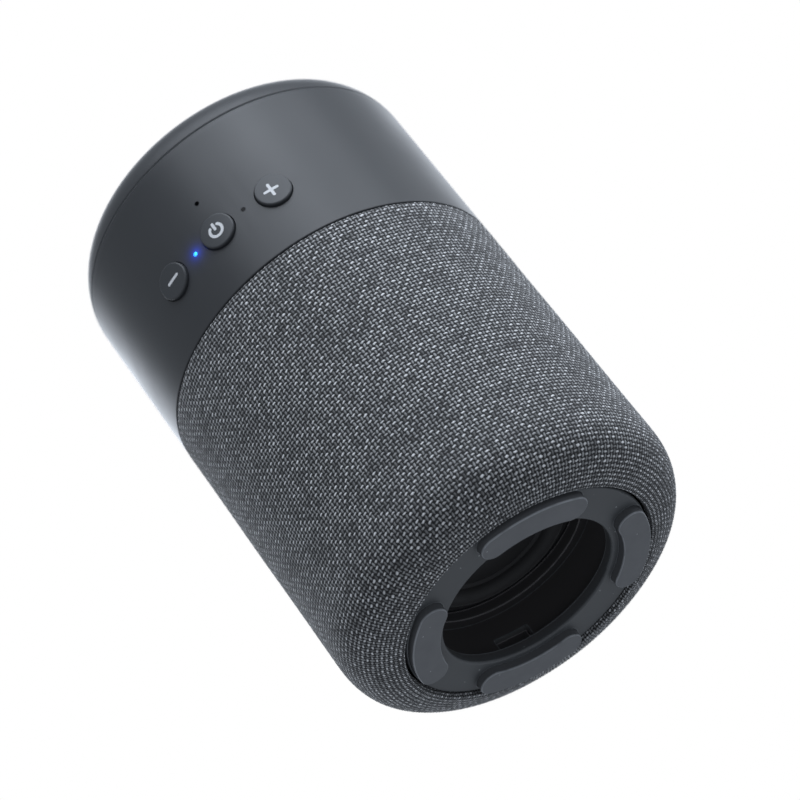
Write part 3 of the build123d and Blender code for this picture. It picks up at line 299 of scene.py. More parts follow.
def light_face():
    """Middle of the status light's outer end, on the face of the band."""
    low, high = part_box("status_light_pipe")
    middle = (low + high) / 2
    heading = Vector((middle.x, middle.y, 0.0)).normalized()
    return heading * outer_radius("top_cover") + AXIS_UP * middle.z


def painted_seam_light(surface):
    """Where painted light sits: a pale tone inside the fine groove between the band and the cover,
    where shade falls.
    """
    lip = top("top_band")
    height = surface.axis("Z")
    within = height.between(lip - SEAM, lip) - height.between(lip + SEAM, lip + 2 * SEAM)
    face = outer_radius("top_cover")
    return within - within * surface.radius().between(face - SEAM, face - 0.1 * SEAM)


def shell_plastic(name):
    """The satin shell, which also carries a painted glow of the status light in the plastic around it.
    """
    surface = Surface(name)
    tone = worn_tone(surface, (0.0300, 0.0325, 0.0360), 0.06, 0.0)
    near = surface.maths("EXPONENT", surface.distance(light_face()) * (-1.0 / LIGHT_GLOW))
    texture = surface.noise(0.14 * MM, 2.0)
    handled = surface.noise(CLOUD, 4.0)
    return surface.set(
        # painted light: a pale tone inside the seam groove, where shade falls
        base_color=surface.mix(painted_seam_light(surface), tone, DUST_AND_PAINTED_LIGHT_TONE),
        roughness=handled.between(0.2, 0.8) * 0.06 + 0.38,
        normal=surface.bump(texture, 0.003 * MM),
        emission_color=rgba((0.004, 0.06, 0.9)),
        emission_strength=near * 0.9,
    )


def ring_plastic(name):
    """The foot ring: dusty satin plastic with pale edges, partly rubbed and partly painted highlight;
    duller up inside the well, where painted shade darkens it.

    The windows in the well's wall carry painted light: a paler tone in their shaded pockets.
    """
    surface = Surface(name)
    colour = (0.055, 0.059, 0.063)
    deep = surface.axis("Z").between(2.0 * MM, 6.0 * MM)
    # painted shade: a darker, warmer tone from 2 to 6 mm up inside the well
    tone = surface.mix(deep, worn_tone(surface, colour, 0.08, DUST), (0.044, 0.041, 0.041))
    # painted light: the windows' shaded pockets are pushed half-way to the pale tone
    window_painted_light = surface.radius().between(WELL_RADIUS, WELL_RADIUS + 0.1 * MM) * deep
    tone = surface.mix(window_painted_light * 0.5, tone, DUST_AND_PAINTED_LIGHT_TONE)
    grain = surface.noise(0.25 * MM, 2.0)
    return surface.set(
        base_color=pale_edges_worn_and_highlit(surface, tone, shade(colour, 2.6)),
        roughness=deep * 0.2 + 0.52,
        normal=surface.bump(grain, 0.008 * MM),
    )


def rubber(name, colour, roughness):
    """Soft rubber, with a chalky bloom in patches."""
    surface = Surface(name)
    bloom = surface.noise(4 * MM, 4.0).between(0.35, 0.8)
    tone = worn_tone(surface, colour, 0.07, 0.0)
    return surface.set(
        base_color=surface.mix(bloom * 0.25, tone, shade(colour, 1.6)),
        roughness=bloom * 0.1 + roughness,
        normal=surface.bump(surface.noise(0.22 * MM, 3.0), 0.006 * MM),
        sheen_weight=0.15,
        sheen_roughness=0.5,
    )


def housing_plastic(name):
    """The inner housing: dull black plastic whose edges carry painted highlights, fine pale lines down
    in the well.
    """
    surface = Surface(name)
    colour = (0.047, 0.045, 0.046)
    return surface.set(
        # the pale tone, seven times the base, paints highlights on the edges
        base_color=pale_edges_worn_and_highlit(surface, worn_tone(surface, colour, 0.08, 0.0), shade(colour, 7.0)),
        roughness=surface.noise(CLOUD / 2, 4.0).between(0.2, 0.8) * 0.08 + 0.42,
        normal=surface.bump(surface.noise(0.4 * MM, 2.0), 0.004 * MM),
    )


def foot_rubber(name):
    """The feet: firm grey rubber with dust specks underneath, painted shade darkening the sides and a
    painted highlight pale along the edge.
    """
    surface = Surface(name)
    colour = (0.117, 0.122, 0.130)
    height = surface.axis("Z")
    # painted shade: the sides darken to 0.62 of the face tone
    side = height.between(0.25 * MM, 0.55 * MM)
    # painted highlight: a pale line around the edge of the face, in patches
    edge = height.between(0.01 * MM, 0.08 * MM) - side
    tone = surface.mix(side, worn_tone(surface, colour, 0.07, DUST), shade(colour, 0.62))
    tone = surface.mix(edge * surface.noise(3 * MM, 3.0).between(0.1, 0.6), tone, shade(colour, 2.2))
    handled = surface.noise(4 * MM, 4.0).between(0.35, 0.8)
    return surface.set(
        base_color=tone,
        roughness=handled * 0.12 + 0.62,
        normal=surface.bump(surface.noise(0.22 * MM, 3.0), 0.006 * MM),
    )


def machined(name, colour, roughness, tarnish, stretch=(1.0, 1.0, 14.0)):
    """Bare or plated metal: fine tool marks along one direction and dull patches."""
    surface = Surface(name)
    marks = surface.noise(0.9 * MM, 3.0, surface.stretched(stretch))
    patch = surface.noise(3 * MM, 4.0).between(0.45, 0.75)
    return surface.set(
        base_color=surface.mix(patch, colour, tarnish),
        metallic=1.0,
        roughness=marks * 0.18 + patch * 0.12 + roughness,
        normal=surface.bump(marks, 0.006 * MM),
    )


def turned(name, colour, roughness, tarnish):
    """Metal turned on a lathe: rings about the speaker's axis instead of straight marks."""
    surface = Surface(name)
    rings = (surface.radius() * (2 * math.pi / (0.22 * MM))).sine() * 0.5 + 0.5
    patch = surface.noise(5 * MM, 4.0).between(0.45, 0.75)
    return surface.set(
        base_color=surface.mix(patch, colour, tarnish),
        metallic=1.0,
        roughness=rings * 0.06 + patch * 0.15 + roughness,
        normal=surface.bump(rings, 0.003 * MM),
    )


def painted_steel(name):
    """Black paint over pressed steel, with orange peel and a few chips down to the metal."""
    surface = Surface(name)
    chip = surface.noise(2.4 * MM, 5.0).between(0.70, 0.72)
    peel = surface.noise(0.7 * MM, 2.0)
    return surface.set(
        base_color=surface.mix(chip, (0.012, 0.012, 0.013), (0.45, 0.45, 0.46)),
        metallic=chip,
        roughness=peel * 0.12 + 0.32,
        normal=surface.bump(peel, 0.02 * MM),
    )


def ferrite(name):
    """Ground ferrite: dark, granular, with coarse grinding marks."""
    surface = Surface(name)
    grain = surface.cells(0.35 * MM)
    marks = surface.noise(1.5 * MM, 3.0, surface.stretched((1.0, 9.0, 1.0)))
    return surface.set(
        base_color=surface.mix(grain, (0.020, 0.020, 0.022), (0.060, 0.060, 0.064)),
        metallic=0.35,
        roughness=marks * 0.25 + 0.38,
        normal=surface.bump(grain * 0.5 + marks * 0.5, 0.02 * MM),
    )


def foam(name):
    """Closed-cell foam: small bubbles cut through at the surface."""
    surface = Surface(name)
    bubble = surface.cells(0.30 * MM).between(0.05, 0.55)
    return surface.set(
        base_color=surface.mix(bubble, (0.004, 0.004, 0.005), (0.022, 0.022, 0.024)),
        roughness=0.92,
        normal=surface.bump(bubble, 0.06 * MM),
    )


def crossed_cloth(name, dark, light, pitch=0.32 * MM):
    """Open cloth dipped in resin: crossed threads seen from above."""
    surface = Surface(name)
    turn = math.pi / pitch
    weft = abs((surface.axis("X") * turn).sine())
    warp = abs((surface.axis("Y") * turn).sine())
    thread = weft.larger(warp)
    stain = surface.noise(3 * MM, 3.0)
    tone = surface.mix(stain, dark, light)
    return surface.set(
        base_color=surface.mix(thread.between(0.55, 0.95), shade(dark, 0.35), tone),
        roughness=0.7,
        normal=surface.bump(thread, 0.08 * MM),
    )


def cone_paper(name):
    """Coated paper: short fibres pressed every way under a thin black film."""
    surface = Surface(name)
    along = surface.noise(0.5 * MM, 4.0, surface.stretched((1.0, 6.0, 1.0)))
    across = surface.noise(0.5 * MM, 4.0, surface.stretched((6.0, 1.0, 1.0)))
    fibre = along.larger(across)
    return surface.set(
        base_color=surface.mix(fibre.between(0.4, 0.8), (0.009, 0.009, 0.010), (0.036, 0.036, 0.038)),
        roughness=fibre * 0.2 + 0.5,
        normal=surface.bump(fibre, 0.03 * MM),
    )


def wound_copper(name):
    """Enamelled wire laid turn by turn on its former."""
    surface = Surface(name)
    turns = abs((surface.axis("Z") * (math.pi / (0.20 * MM))).sine())
    burnt = surface.noise(2 * MM, 3.0)
    return surface.set(
        base_color=surface.mix(burnt, (0.42, 0.13, 0.05), (0.72, 0.32, 0.14)),
        metallic=0.9,
        roughness=burnt * 0.15 + 0.25,
        normal=surface.bump(turns, 0.05 * MM),
    )


def circuit(name, mask, track, base, pitch=1.1 * MM):
    """Solder mask over copper tracks that run in two directions and step from one to the other."""
    surface = Surface(name)
    field = surface.noise(6 * MM, 0.0) > 0.5
    turn = math.pi / pitch
    along = abs((surface.axis("X") * turn).sine()) > 0.72
    across = abs((surface.axis("Y") * turn).sine()) > 0.72
    tracks = field * along + (field * -1.0 + 1.0) * across
    via = surface.cells(2.6 * MM) < 0.09
    inked = surface.mix(tracks, mask, track)
    return surface.set(
        base_color=surface.mix(via, inked, base),
        metallic=via * 0.8,
        roughness=surface.noise(2 * MM, 2.0) * 0.15 + 0.28,
        normal=surface.bump(tracks.larger(via), 0.03 * MM),
        coat_weight=0.3,
    )


def moulded_chip(name):
    """Black epoxy with a fine matt texture and dull lead ends."""
    surface = Surface(name)
    texture = surface.noise(0.12 * MM, 3.0)
    smear = surface.noise(2.2 * MM, 3.0)
    return surface.set(
        base_color=surface.mix(smear, (0.010, 0.010, 0.011), (0.028, 0.028, 0.030)),
        roughness=texture * 0.25 + 0.45,
        normal=surface.bump(texture, 0.012 * MM),
    )


def shrink_wrap(name):
    """The cell's shrunk film, drawn tight with faint folds along its length."""
    surface = Surface(name)
    folds = surface.noise(1.6 * MM, 3.0, surface.stretched((0.12, 1.0, 1.0)))
    ends = abs(surface.axis("X")).between(30 * MM, 31.5 * MM)
    return surface.set(
        base_color=surface.mix(ends, (0.10, 0.22, 0.30), (0.42, 0.42, 0.43)),
        metallic=ends * 0.9,
        roughness=folds * 0.15 + 0.24,
        normal=surface.bump(folds, 0.05 * MM),
        coat_weight=0.4,
    )


def lit_pipe(name):
    """The status light: a bright cyan core that falls to saturated blue at its edge."""
    surface = Surface(name)
    edge = surface.distance(light_face()).between(0.15 * MM, 0.75 * MM)
    grain = surface.noise(0.2 * MM, 2.0)
    return surface.set(
        base_color=rgba((0.1, 0.4, 0.9)),
        roughness=grain * 0.1 + 0.2,
        emission_color=surface.mix(edge, (0.03, 0.62, 1.0), (0.0, 0.14, 1.0)),
        emission_strength=edge * -0.5 + 1.6,
    )


def clear_pipe(name):
    """The unlit charge light: smoked clear plastic, made near-black as painted shade so it reads as a
    dark hole.
    """
    surface = Surface(name)
    haze = surface.noise(0.3 * MM, 2.0)
    return surface.set(
        base_color=surface.mix(haze, (0.001, 0.001, 0.001), (0.004, 0.004, 0.005)),
        roughness=haze * 0.2 + 0.4,
        specular_ior_level=0.2,
    )


def led_chip(name):
    """A small white package with a yellow phosphor dome in the middle."""
    surface = Surface(name)
    spot = surface.noise(0.8 * MM, 2.0).between(0.45, 0.55)
    return surface.set(
        base_color=surface.mix(spot, (0.75, 0.75, 0.72), (0.80, 0.62, 0.12)),
        roughness=spot * 0.2 + 0.3,
    )


def printed_symbol(name):
    """White ink printed on the buttons, slightly thin in places."""
    surface = Surface(name)
    thin = surface.noise(0.25 * MM, 3.0)
    return surface.set(
        base_color=surface.mix(thin, (0.55, 0.56, 0.58), (0.76, 0.77, 0.79)),
        roughness=thin * 0.15 + 0.45,
        normal=surface.bump(thin, 0.008 * MM),
    )


# ---- The woven face -----------------------------------------------------------------------------
YARNS_AROUND = 270
YARN_SWAY = 0.66  # how far a yarn wanders from its line, in yarns
TWIST = 0.055  # how far a float's twist leans it off its line, in yarns
WEFT_TONE = (0.79, 0.80, 0.82)
WARP_TONE = (0.34, 0.347, 0.357)
# painted shade: the near-black tone between the floats
PAINTED_GAP_SHADE_TONE = (0.020, 0.0205, 0.0215)
NARROWING = 0.65  # how much longer than wide a float is
FLOAT_SHARE = -0.34  # smaller floats below 0, larger ones above
FLOAT_PEAK = 1.0 + NARROWING + FLOAT_SHARE
WARP_HEIGHT = 0.7
WEAVE_MAP = "weave"


def weave_floats(across, along):
    """Weft and warp floats of a plain weave from each way's cosine, above 0 where they show."""
    crossing = across * along
    weft = crossing + (along * along * 2.0 - 1.0) * NARROWING + FLOAT_SHARE
    warp = crossing * -1.0 + (across * across * 2.0 - 1.0) * NARROWING + FLOAT_SHARE
    return weft * (1.0 / FLOAT_PEAK), warp * (1.0 / FLOAT_PEAK)


def woven_face(name):
    """A tight plain weave: bright weft floats between darker warp floats, over gaps painted near-black
    as shade.
    """
    surface = Surface(name)
    yarns = surface.add("ShaderNodeUVMap", uv_map=WEAVE_MAP).outputs["UV"]
    across = surface.axis("X", yarns) + (surface.noise(2.2 * MM, 3.0) - 0.5) * YARN_SWAY
    along = surface.axis("Y", yarns) + (surface.noise(1.2 * MM, 3.0) - 0.5) * YARN_SWAY
    lean = (across * (2 * math.pi)).sine() * TWIST
    weft, warp = weave_floats(
        (across * math.pi).cosine(), ((along + lean) * math.pi).cosine()
    )
    weft, warp = weft.clipped(), warp.clipped()
    cell = surface.add(
        "ShaderNodeCombineXYZ", {"X": (across + 0.5).floor(), "Y": (along + 0.5).floor()}
    )
    chance = surface.add(
        "ShaderNodeTexWhiteNoise", {"Vector": cell.outputs["Vector"]}, noise_dimensions="2D"
    )
    each = Value(surface, chance.outputs["Value"])
    streak = surface.noise(1.0, 3.0, surface.stretched((0.05, 0.5, 1.0), yarns))
    cloud = surface.noise(9 * MM, 2.0)
    brightness = each * 0.85 + streak * 0.7 + cloud * 0.2 - 0.07
    under = surface.mix((warp**0.5 * brightness).clipped(), PAINTED_GAP_SHADE_TONE, WARP_TONE)
    fibre = surface.noise(0.16 * MM, 2.0)
    return surface.set(
        base_color=surface.mix((weft**0.8 * brightness).clipped(), under, WEFT_TONE),
        roughness=fibre * 0.2 + 0.70,
        specular_ior_level=0.25,
        normal=surface.bump(weft.larger(warp * WARP_HEIGHT) + fibre * 0.12, 0.20 * MM),
        sheen_weight=0.12,
        sheen_roughness=0.45,
    )


FINISHES = {
    "sleeve_fabric": woven_face,
    "shell_plastic": shell_plastic,
    "button_plastic": lambda name: moulded(name, (0.034, 0.0375, 0.042), 0.42, depth=0.003 * MM),
    "ring_plastic": ring_plastic,
    "foot_rubber": foot_rubber,
    "inner_plastic": housing_plastic,
    "grille_plastic": lambda name: moulded(name, (0.010, 0.010, 0.011), 0.55, grain=0.3 * MM),
    "gasket_foam": foam,
    "radiator_frame_plastic": lambda name: moulded(name, (0.013, 0.013, 0.014), 0.48),
    "surround_rubber": lambda name: rubber(name, (0.013, 0.0125, 0.013), 0.68),
    "radiator_plate_plastic": lambda name: moulded(
        name, (0.014, 0.0135, 0.014), 0.45, grain=0.5 * MM, depth=0.006 * MM
    ),
    "weight_steel": lambda name: turned(name, (0.55, 0.56, 0.58), 0.26, (0.30, 0.30, 0.31)),
    "basket_steel": painted_steel,
    "magnetic_steel": lambda name: turned(name, (0.58, 0.59, 0.60), 0.24, (0.33, 0.33, 0.35)),
    "ferrite": ferrite,
    "coil_copper": wound_copper,
    "spider_cloth": lambda name: crossed_cloth(name, (0.42, 0.28, 0.10), (0.60, 0.46, 0.22)),
    "cone_paper": cone_paper,
    "screw_steel": lambda name: machined(name, (0.36, 0.36, 0.38), 0.24, (0.16, 0.16, 0.17)),
    "circuit_board": lambda name: circuit(
        name, (0.006, 0.055, 0.020), (0.016, 0.110, 0.042), (0.70, 0.52, 0.22)
    ),
    "flex_circuit": lambda name: circuit(
        name, (0.36, 0.15, 0.02), (0.55, 0.27, 0.06), (0.72, 0.55, 0.25), pitch=0.7 * MM
    ),
    "chip_black": moulded_chip,
    "switch_white": lambda name: moulded(name, (0.62, 0.61, 0.58), 0.38, variation=0.04),
    "port_steel": lambda name: machined(
        name, (0.55, 0.56, 0.58), 0.22, (0.34, 0.34, 0.36), stretch=(14.0, 1.0, 1.0)
    ),
    "cell_can": shrink_wrap,
    "cable_rubber": lambda name: rubber(name, (0.012, 0.012, 0.013), 0.55),
    "light_blue": lit_pipe,
    "light_clear": clear_pipe,
    "led_chip": led_chip,
}
finishes = {slot: make(slot) for slot, make in FINISHES.items()}
symbol_ink = printed_symbol("symbol_ink")

for part in frame["record"]["subparts"]:
    mesh = frame["nodes"][part["node"]].data
    mesh.materials.clear()
    mesh.materials.append(finishes[part["material_slot"]])


# ---- Mesh building ------------------------------------------------------------------------------
def piece(name, points, faces, slot):
    """A smooth mesh object with the finish of a slot."""
    mesh = bpy.data.meshes.new(name)
    mesh.from_pydata([tuple(point) for point in points], [], [tuple(face) for face in faces])
    mesh.materials.append(finishes[slot])
    mesh.shade_smooth()
    made = bpy.data.objects.new(name, mesh)
    bpy.context.scene.collection.objects.link(made)
    return made


def turned_faces(rows, columns, closed):
    """Four-cornered faces of a profile of that many points turned through that many steps."""
    row = np.arange(rows if closed else rows - 1)[:, None]
    column = np.arange(columns)[None, :]
    below, beside = (row + 1) % rows, (column + 1) % columns
    corners = (
        row * columns + column,
        below * columns + column,
        below * columns + beside,
        row * columns + beside,
    )
    return np.stack(corners, axis=-1).reshape(-1, 4)


def turned_points(profile, columns):
    """The profile's (radius, height) points at each step about the axis, row by row."""
    angle = np.arange(columns) * (2 * math.pi / columns)
    radius, height = np.asarray(profile)[:, :1], np.asarray(profile)[:, 1:]
    flat = [radius * np.cos(angle), radius * np.sin(angle), height + 0 * angle]
    return np.stack(flat, axis=-1).reshape(-1, 3)


def arc(centre, radius, start, end, steps):
    """Points of an arc in the (radius, height) plane between two angles in degrees."""
    angle = np.radians(np.linspace(start, end, steps + 1))
    return np.stack([centre[0] + radius * np.cos(angle), centre[1] + radius * np.sin(angle)], axis=-1)


def bezier(start, leave, arrive, end, steps):
    t = np.linspace(0, 1, steps + 1)[:, None]
    points = [np.array(point) for point in (start, leave, arrive, end)]
    return (
        (1 - t) ** 3 * points[0]
        + 3 * t * (1 - t) ** 2 * points[1]
        + 3 * t**2 * (1 - t) * points[2]
        + t**3 * points[3]
    )


# ---- Woven sleeve -------------------------------------------------------------------------------
SAMPLES = 2  # mesh points per yarn
RELIEF = 0.10 * MM
SLACK = 0.05 * MM  # slow unevenness of the stretched cloth
EDGE_ROUND = 0.18 * MM  # of the sleeve's folded top edge
CLOTH = 0.9 * MM  # thickness of the cloth
RIM_ROUND = 0.7 * MM
TUCK_DEPTH = 2.1 * MM
SKIRT_REACH = 6.5 * MM
SKIRT_SLOPE = 1.4 * MM
SKIRT_HEIGHT = 12.1 * MM
SKIRT_HANDLE = 7.8 * MM
ROW_STRETCH = 1.03  # a row of yarns over the spacing around
TOP_LIFT = 0.1 * MM  # the yarns stand up a little into the groove
RIM_GAP = 0.5 * MM  # between the sleeve's rim and the foot ring

body_radius = outer_radius("fabric_sleeve")
sleeve_top = top("fabric_sleeve") + TOP_LIFT
rim_height = bottom("fabric_sleeve")
rim_radius = outer_radius("base_ring") + RIM_GAP
row_pitch = 2 * math.pi * body_radius / YARNS_AROUND * ROW_STRETCH


def cloth_line():
    """The sleeve's visible line from its folded top edge, down the side, to the tuck at the ring."""
    edge = arc((body_radius - EDGE_ROUND, sleeve_top - EDGE_ROUND), EDGE_ROUND, 90, 0, 6)
    skirt_top = rim_height + SKIRT_HEIGHT
    skirt = bezier(
        (body_radius, skirt_top),
        (body_radius, skirt_top - SKIRT_HANDLE),
        (rim_radius + RIM_ROUND + SKIRT_REACH, rim_height + SKIRT_SLOPE),
        (rim_radius + RIM_ROUND, rim_height),
        48,
    )
    rim = arc((rim_radius + RIM_ROUND, rim_height + RIM_ROUND), RIM_ROUND, 270, 180, 10)
    tuck = [(rim_radius, rim_height + RIM_ROUND + TUCK_DEPTH)]
    return np.concatenate([edge, skirt, rim[1:], tuck])


def resampled(line, count):
    """The line as that many steps of equal length, with the length itself."""
    travel = np.concatenate([[0], np.cumsum(np.linalg.norm(np.diff(line, axis=0), axis=1))])
    wanted = np.linspace(0, travel[-1], count + 1)
    return np.stack([np.interp(wanted, travel, line[:, side]) for side in (0, 1)], axis=-1)


def outward(line):
    """Unit normals of a (radius, height) line that runs downward, pointing away from the axis."""
    along = np.gradient(line, axis=0)
    along /= np.linalg.norm(along, axis=1)[:, None]
    return np.stack([-along[:, 1], along[:, 0]], axis=-1)


def woven_sleeve():
    """The sleeve with its yarns standing in relief, closed behind by a plain inner wall."""
    line = cloth_line()
    length = np.linalg.norm(np.diff(line, axis=0), axis=1).sum()
    rows = round(length / row_pitch)
    line = resampled(line, rows * SAMPLES)
    columns = YARNS_AROUND * SAMPLES
    u = np.arange(columns)[None, :] / SAMPLES
    v = np.arange(len(line))[:, None] / SAMPLES
    weft, warp = weave_floats(np.cos(math.pi * u), np.cos(math.pi * v))
    height = np.maximum(np.maximum(weft, warp * WARP_HEIGHT), 0)
    turn = 2 * math.pi * u / YARNS_AROUND
    slack = np.sin(5 * turn + v / 9) * np.sin(3 * turn - v / 14)
    lift = (RELIEF * (height - 0.5) + SLACK * slack)[..., None]
    lift[-1] = 0
    radial = np.stack([np.cos(turn), np.sin(turn), 0 * turn], axis=-1)
    normal = outward(line)
    push = normal[:, None, :1] * radial + normal[:, None, 1:] * np.array(AXIS_UP)
    face = turned_points(line, columns).reshape(len(line), columns, 3) + lift * push
    skirt_top = rim_height + SKIRT_HEIGHT
    lining = [
        (rim_radius + CLOTH, rim_height + RIM_ROUND + TUCK_DEPTH),
        (rim_radius + CLOTH, rim_height + CLOTH + RIM_ROUND),
        (body_radius - 3 * CLOTH, skirt_top - SKIRT_HANDLE),
        (body_radius - CLOTH, skirt_top),
        (body_radius - CLOTH, sleeve_top),
    ]
    points = np.concatenate([face.reshape(-1, 3), turned_points(lining, columns)])
    rings = len(line) + len(lining)
    sleeve = piece("woven_sleeve", points, turned_faces(rings, columns, True), "sleeve_fabric")
    weave = sleeve.data.uv_layers.new(name=WEAVE_MAP)
    step = 1 / SAMPLES
    row, column = np.divmod(np.arange(rings * columns), columns)
    left, upper = column * step, row * step
    corners = np.stack(
        [left, upper, left, upper + step, left + step, upper + step, left + step, upper], axis=-1
    )
    weave.data.foreach_set("uv", corners.ravel())
    return sleeve


sleeve = woven_sleeve()
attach(sleeve, "chassis")
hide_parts("fabric_sleeve")


# ---- Rubber rolls and spider --------------------------------------------------------------------
RING_STEPS = 240
CREASE = math.radians(40)
RADIATOR_RUBBER = 0.4 * MM
RADIATOR_GLUE = 1.8 * MM
DRIVER_RUBBER = 0.35 * MM
DRIVER_GLUE = 1.4 * MM
SPIDER_LAND = 1.0 * MM  # the flat, glued ring at each edge of the spider
SPIDER_SHELF = 1.6 * MM
SPIDER_WAVES = 5
SPIDER_WAVE_HEIGHT = 0.3 * MM
WAVE_STEPS = 24
ROLL_STEPS = 28


def flexing_ring(name, outline, node, moving_radius, fixed_radius, slot):
    """A closed outline turned about the axis in place of the CAD node, which it hides; each point's
    share from the moving to the fixed radius is worked out but not applied.
    """
    faces = turned_faces(len(outline), RING_STEPS, True)
    made = piece(name, turned_points(outline, RING_STEPS), faces, slot)
    made.data.set_sharp_from_angle(angle=CREASE)
    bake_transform(made)
    points = np.array([vertex.co for vertex in made.data.vertices])
    radius = np.hypot(points[:, 0], points[:, 1])
    share = np.clip((fixed_radius - radius) / (fixed_radius - moving_radius), 0, 1)
    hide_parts(node)


def half_roll(node, moving_radius, wall, glue, side):
    """Outline of a half-roll surround with flat flanges, its crest up for side 1, down for -1."""
    low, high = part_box(node)
    base = low.z if side > 0 else high.z - wall
    reach = (high.z - base) if side > 0 else (base - low.z)
    hollow = reach - wall
    centre = moving_radius + hollow
    lift = wall if side > 0 else 0.0
    start = math.degrees(math.asin(lift / reach))
    crest = arc((centre, base), reach, side * (180 - start), side * start, ROLL_STEPS)
    underside = arc((centre, base), hollow, 0, side * 180, ROLL_STEPS)
    posts = [] if side > 0 else [(centre + hollow, base + wall), (centre - hollow, base + wall)]
    outline = [*crest, (high.x, base + lift), (high.x, base + wall - lift), *posts[:1], *underside]
    inner = moving_radius - glue
    outline += [*posts[1:], (inner, base + wall - lift), (inner, base + lift)]
    return outline, centre + hollow


plate_radius = outer_radius("radiator_plate")
outline, fixed_radius = half_roll("radiator_surround", plate_radius, RADIATOR_RUBBER, RADIATOR_GLUE, -1)
flexing_ring(
    "radiator_roll", outline, "radiator_surround",
    plate_radius, fixed_radius, "surround_rubber",
)
cone_radius = outer_radius("driver_cone")
outline, fixed_radius = half_roll("driver_surround", cone_radius, DRIVER_RUBBER, DRIVER_GLUE, 1)
flexing_ring(
    "driver_roll", outline, "driver_surround",
    cone_radius, fixed_radius, "surround_rubber",
)


def spider_outline():
    """A thin sheet in concentric waves between two flat lands."""
    low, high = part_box("spider")
    inner = outer_radius("voice_coil")
    radius = np.linspace(inner, high.x, WAVE_STEPS * SPIDER_WAVES)
    moving, fixed = inner + SPIDER_LAND, high.x - SPIDER_SHELF
    phase = np.clip((radius - moving) / (fixed - moving), 0, 1)
    wave = SPIDER_WAVE_HEIGHT * np.sin(2 * math.pi * SPIDER_WAVES * phase)
    upper = np.stack([radius, high.z + wave], axis=-1)
    lower = np.stack([radius, low.z + wave], axis=-1)
    return np.concatenate([lower, upper[::-1]]), moving, fixed


outline, moving_radius, fixed_radius = spider_outline()
flexing_ring(
    "corrugated_spider", outline, "spider",
    moving_radius, fixed_radius, "spider_cloth",
)

# ---- Button symbols -----------------------------------------------------------------------------
SYMBOL_LENGTH = 3.6 * MM
STROKE = 0.66 * MM
INK = 0.03 * MM  # how far the ink stands off the button
INK_STEP = 0.15  # how much lower each later stroke lies, as a share of the ink
INK_ROOT = 0.02 * MM  # the ink's edges reach this far into the button
POWER_GAP = 40.0  # degrees left open on each side of the power symbol's tick
CAP_SWEEP = np.radians([-86, -70, -50, -30, -15])


def stroke(path, width):
    """Left and right edges of a round-ended stroke along a path of (across, up) points."""
    path = np.array(path)
    along = np.gradient(path, axis=0)
    along /= np.linalg.norm(along, axis=1)[:, None]
    half = width / 2
    back = np.sin(CAP_SWEEP)[:, None] * half
    narrow = np.cos(CAP_SWEEP) * half
    centre = np.concatenate([path[0] + back * along[0], path, path[-1] - back[::-1] * along[-1]])
    ends = len(CAP_SWEEP)
    along = np.concatenate([[along[0]] * ends, along, [along[-1]] * ends])
    halves = np.concatenate([narrow, np.full(len(path), half), narrow[::-1]])[:, None]
    side = np.stack([-along[:, 1], along[:, 0]], axis=-1) * halves
    return centre + side, centre - side


face = -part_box("power_button")[0].y  # radius of the buttons' shared face


def symbol(name, button, strokes):
    """Ink strokes wrapped on a button's cylindrical face; later strokes lie a hair lower."""
    low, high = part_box(button)
    middle = (low + high) / 2
    heading = math.atan2(middle.y, middle.x)
    points, faces = [], []
    for order, path in enumerate(strokes):
        left, right = stroke(path, STROKE)
        ink = face + INK * (1 - INK_STEP * order)
        sheets = [(left, ink), (right, ink), (right, face - INK_ROOT), (left, face - INK_ROOT)]
        base = len(points)
        for stations in zip(*[edge for edge, _ in sheets]):
            for (across, up), (_, radius) in zip(stations, sheets):
                turn = heading + across / face
                points.append((radius * math.cos(turn), radius * math.sin(turn), middle.z + up))
        count = len(left)
        for station in range(count - 1):
            here = base + 4 * station
            for corner in range(4):
                beside = (corner + 1) % 4
                faces.append((here + corner, here + 4 + corner, here + 4 + beside, here + beside))
        faces.append((base, base + 1, base + 2, base + 3))
        last = base + 4 * (count - 1)
        faces.append((last + 3, last + 2, last + 1, last))
    made = piece(name, points, faces, "button_plastic")  # made with the buttons' finish first, which the ink replaces on the next line
    made.data.materials[0] = symbol_ink
    made.data.set_sharp_from_angle(angle=CREASE)
    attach(made, button)
    return made


def straight(start, end, steps=10):
    return np.linspace(start, end, steps + 1)


reach = (SYMBOL_LENGTH - STROKE) / 2
bar = straight((-reach, 0), (reach, 0))
upright = straight((0, -reach), (0, reach))
open_circle = arc((0, 0), reach, 90 + POWER_GAP, 450 - POWER_GAP, 40)
tick = straight((0, reach / 4), (0, reach * 1.2))
symbol("minus_symbol", "volume_down_button", [bar])
symbol("plus_symbol", "volume_up_button", [bar, upright])
symbol("power_symbol", "power_button", [open_circle, tick])

# ---- Studio -------------------------------------------------------------------------------------
CAMERA_AZIMUTH = 8.2
CAMERA_ELEVATION = -33.5
CAMERA_ROLL = -37.5  # the camera leans right, so the speaker leans left
CAMERA_DISTANCE = 706 * MM
CAMERA_LENS = 150.6  # on a sensor of 36
AIM_SHIFT = Vector((3.0, 0.45, -5.25)) * MM
COOL = (0.90, 0.965, 1.06)  # the studio's slightly blue light
AMBIENT = 0.41  # this, the backdrop and the lamps were fitted to the look, then adjusted
BACKDROP = 2.3  # brightness of the white backdrop, which the speaker's edges mirror
FOCUS_DISTANCE = 670 * MM
APERTURE = 28.0
LAMP_SIZE = 0.45
LAMP_DISTANCE = 0.55
FLOOR_RADIUS = 0.6
FLOOR_TONE = 0.80
FLOOR_SIDES = 96
WHITE = (1.0, 1.0, 1.0)


def direction(azimuth, elevation):
    """Unit vector from the speaker towards a viewer at that azimuth and elevation."""
    turn, rise = math.radians(azimuth), math.radians(elevation)
    return Vector((math.sin(turn) * math.cos(rise), -math.cos(turn) * math.cos(rise), math.sin(rise)))


centre = (cad_low + cad_high) / 2
toward_camera = direction(CAMERA_AZIMUTH, CAMERA_ELEVATION)


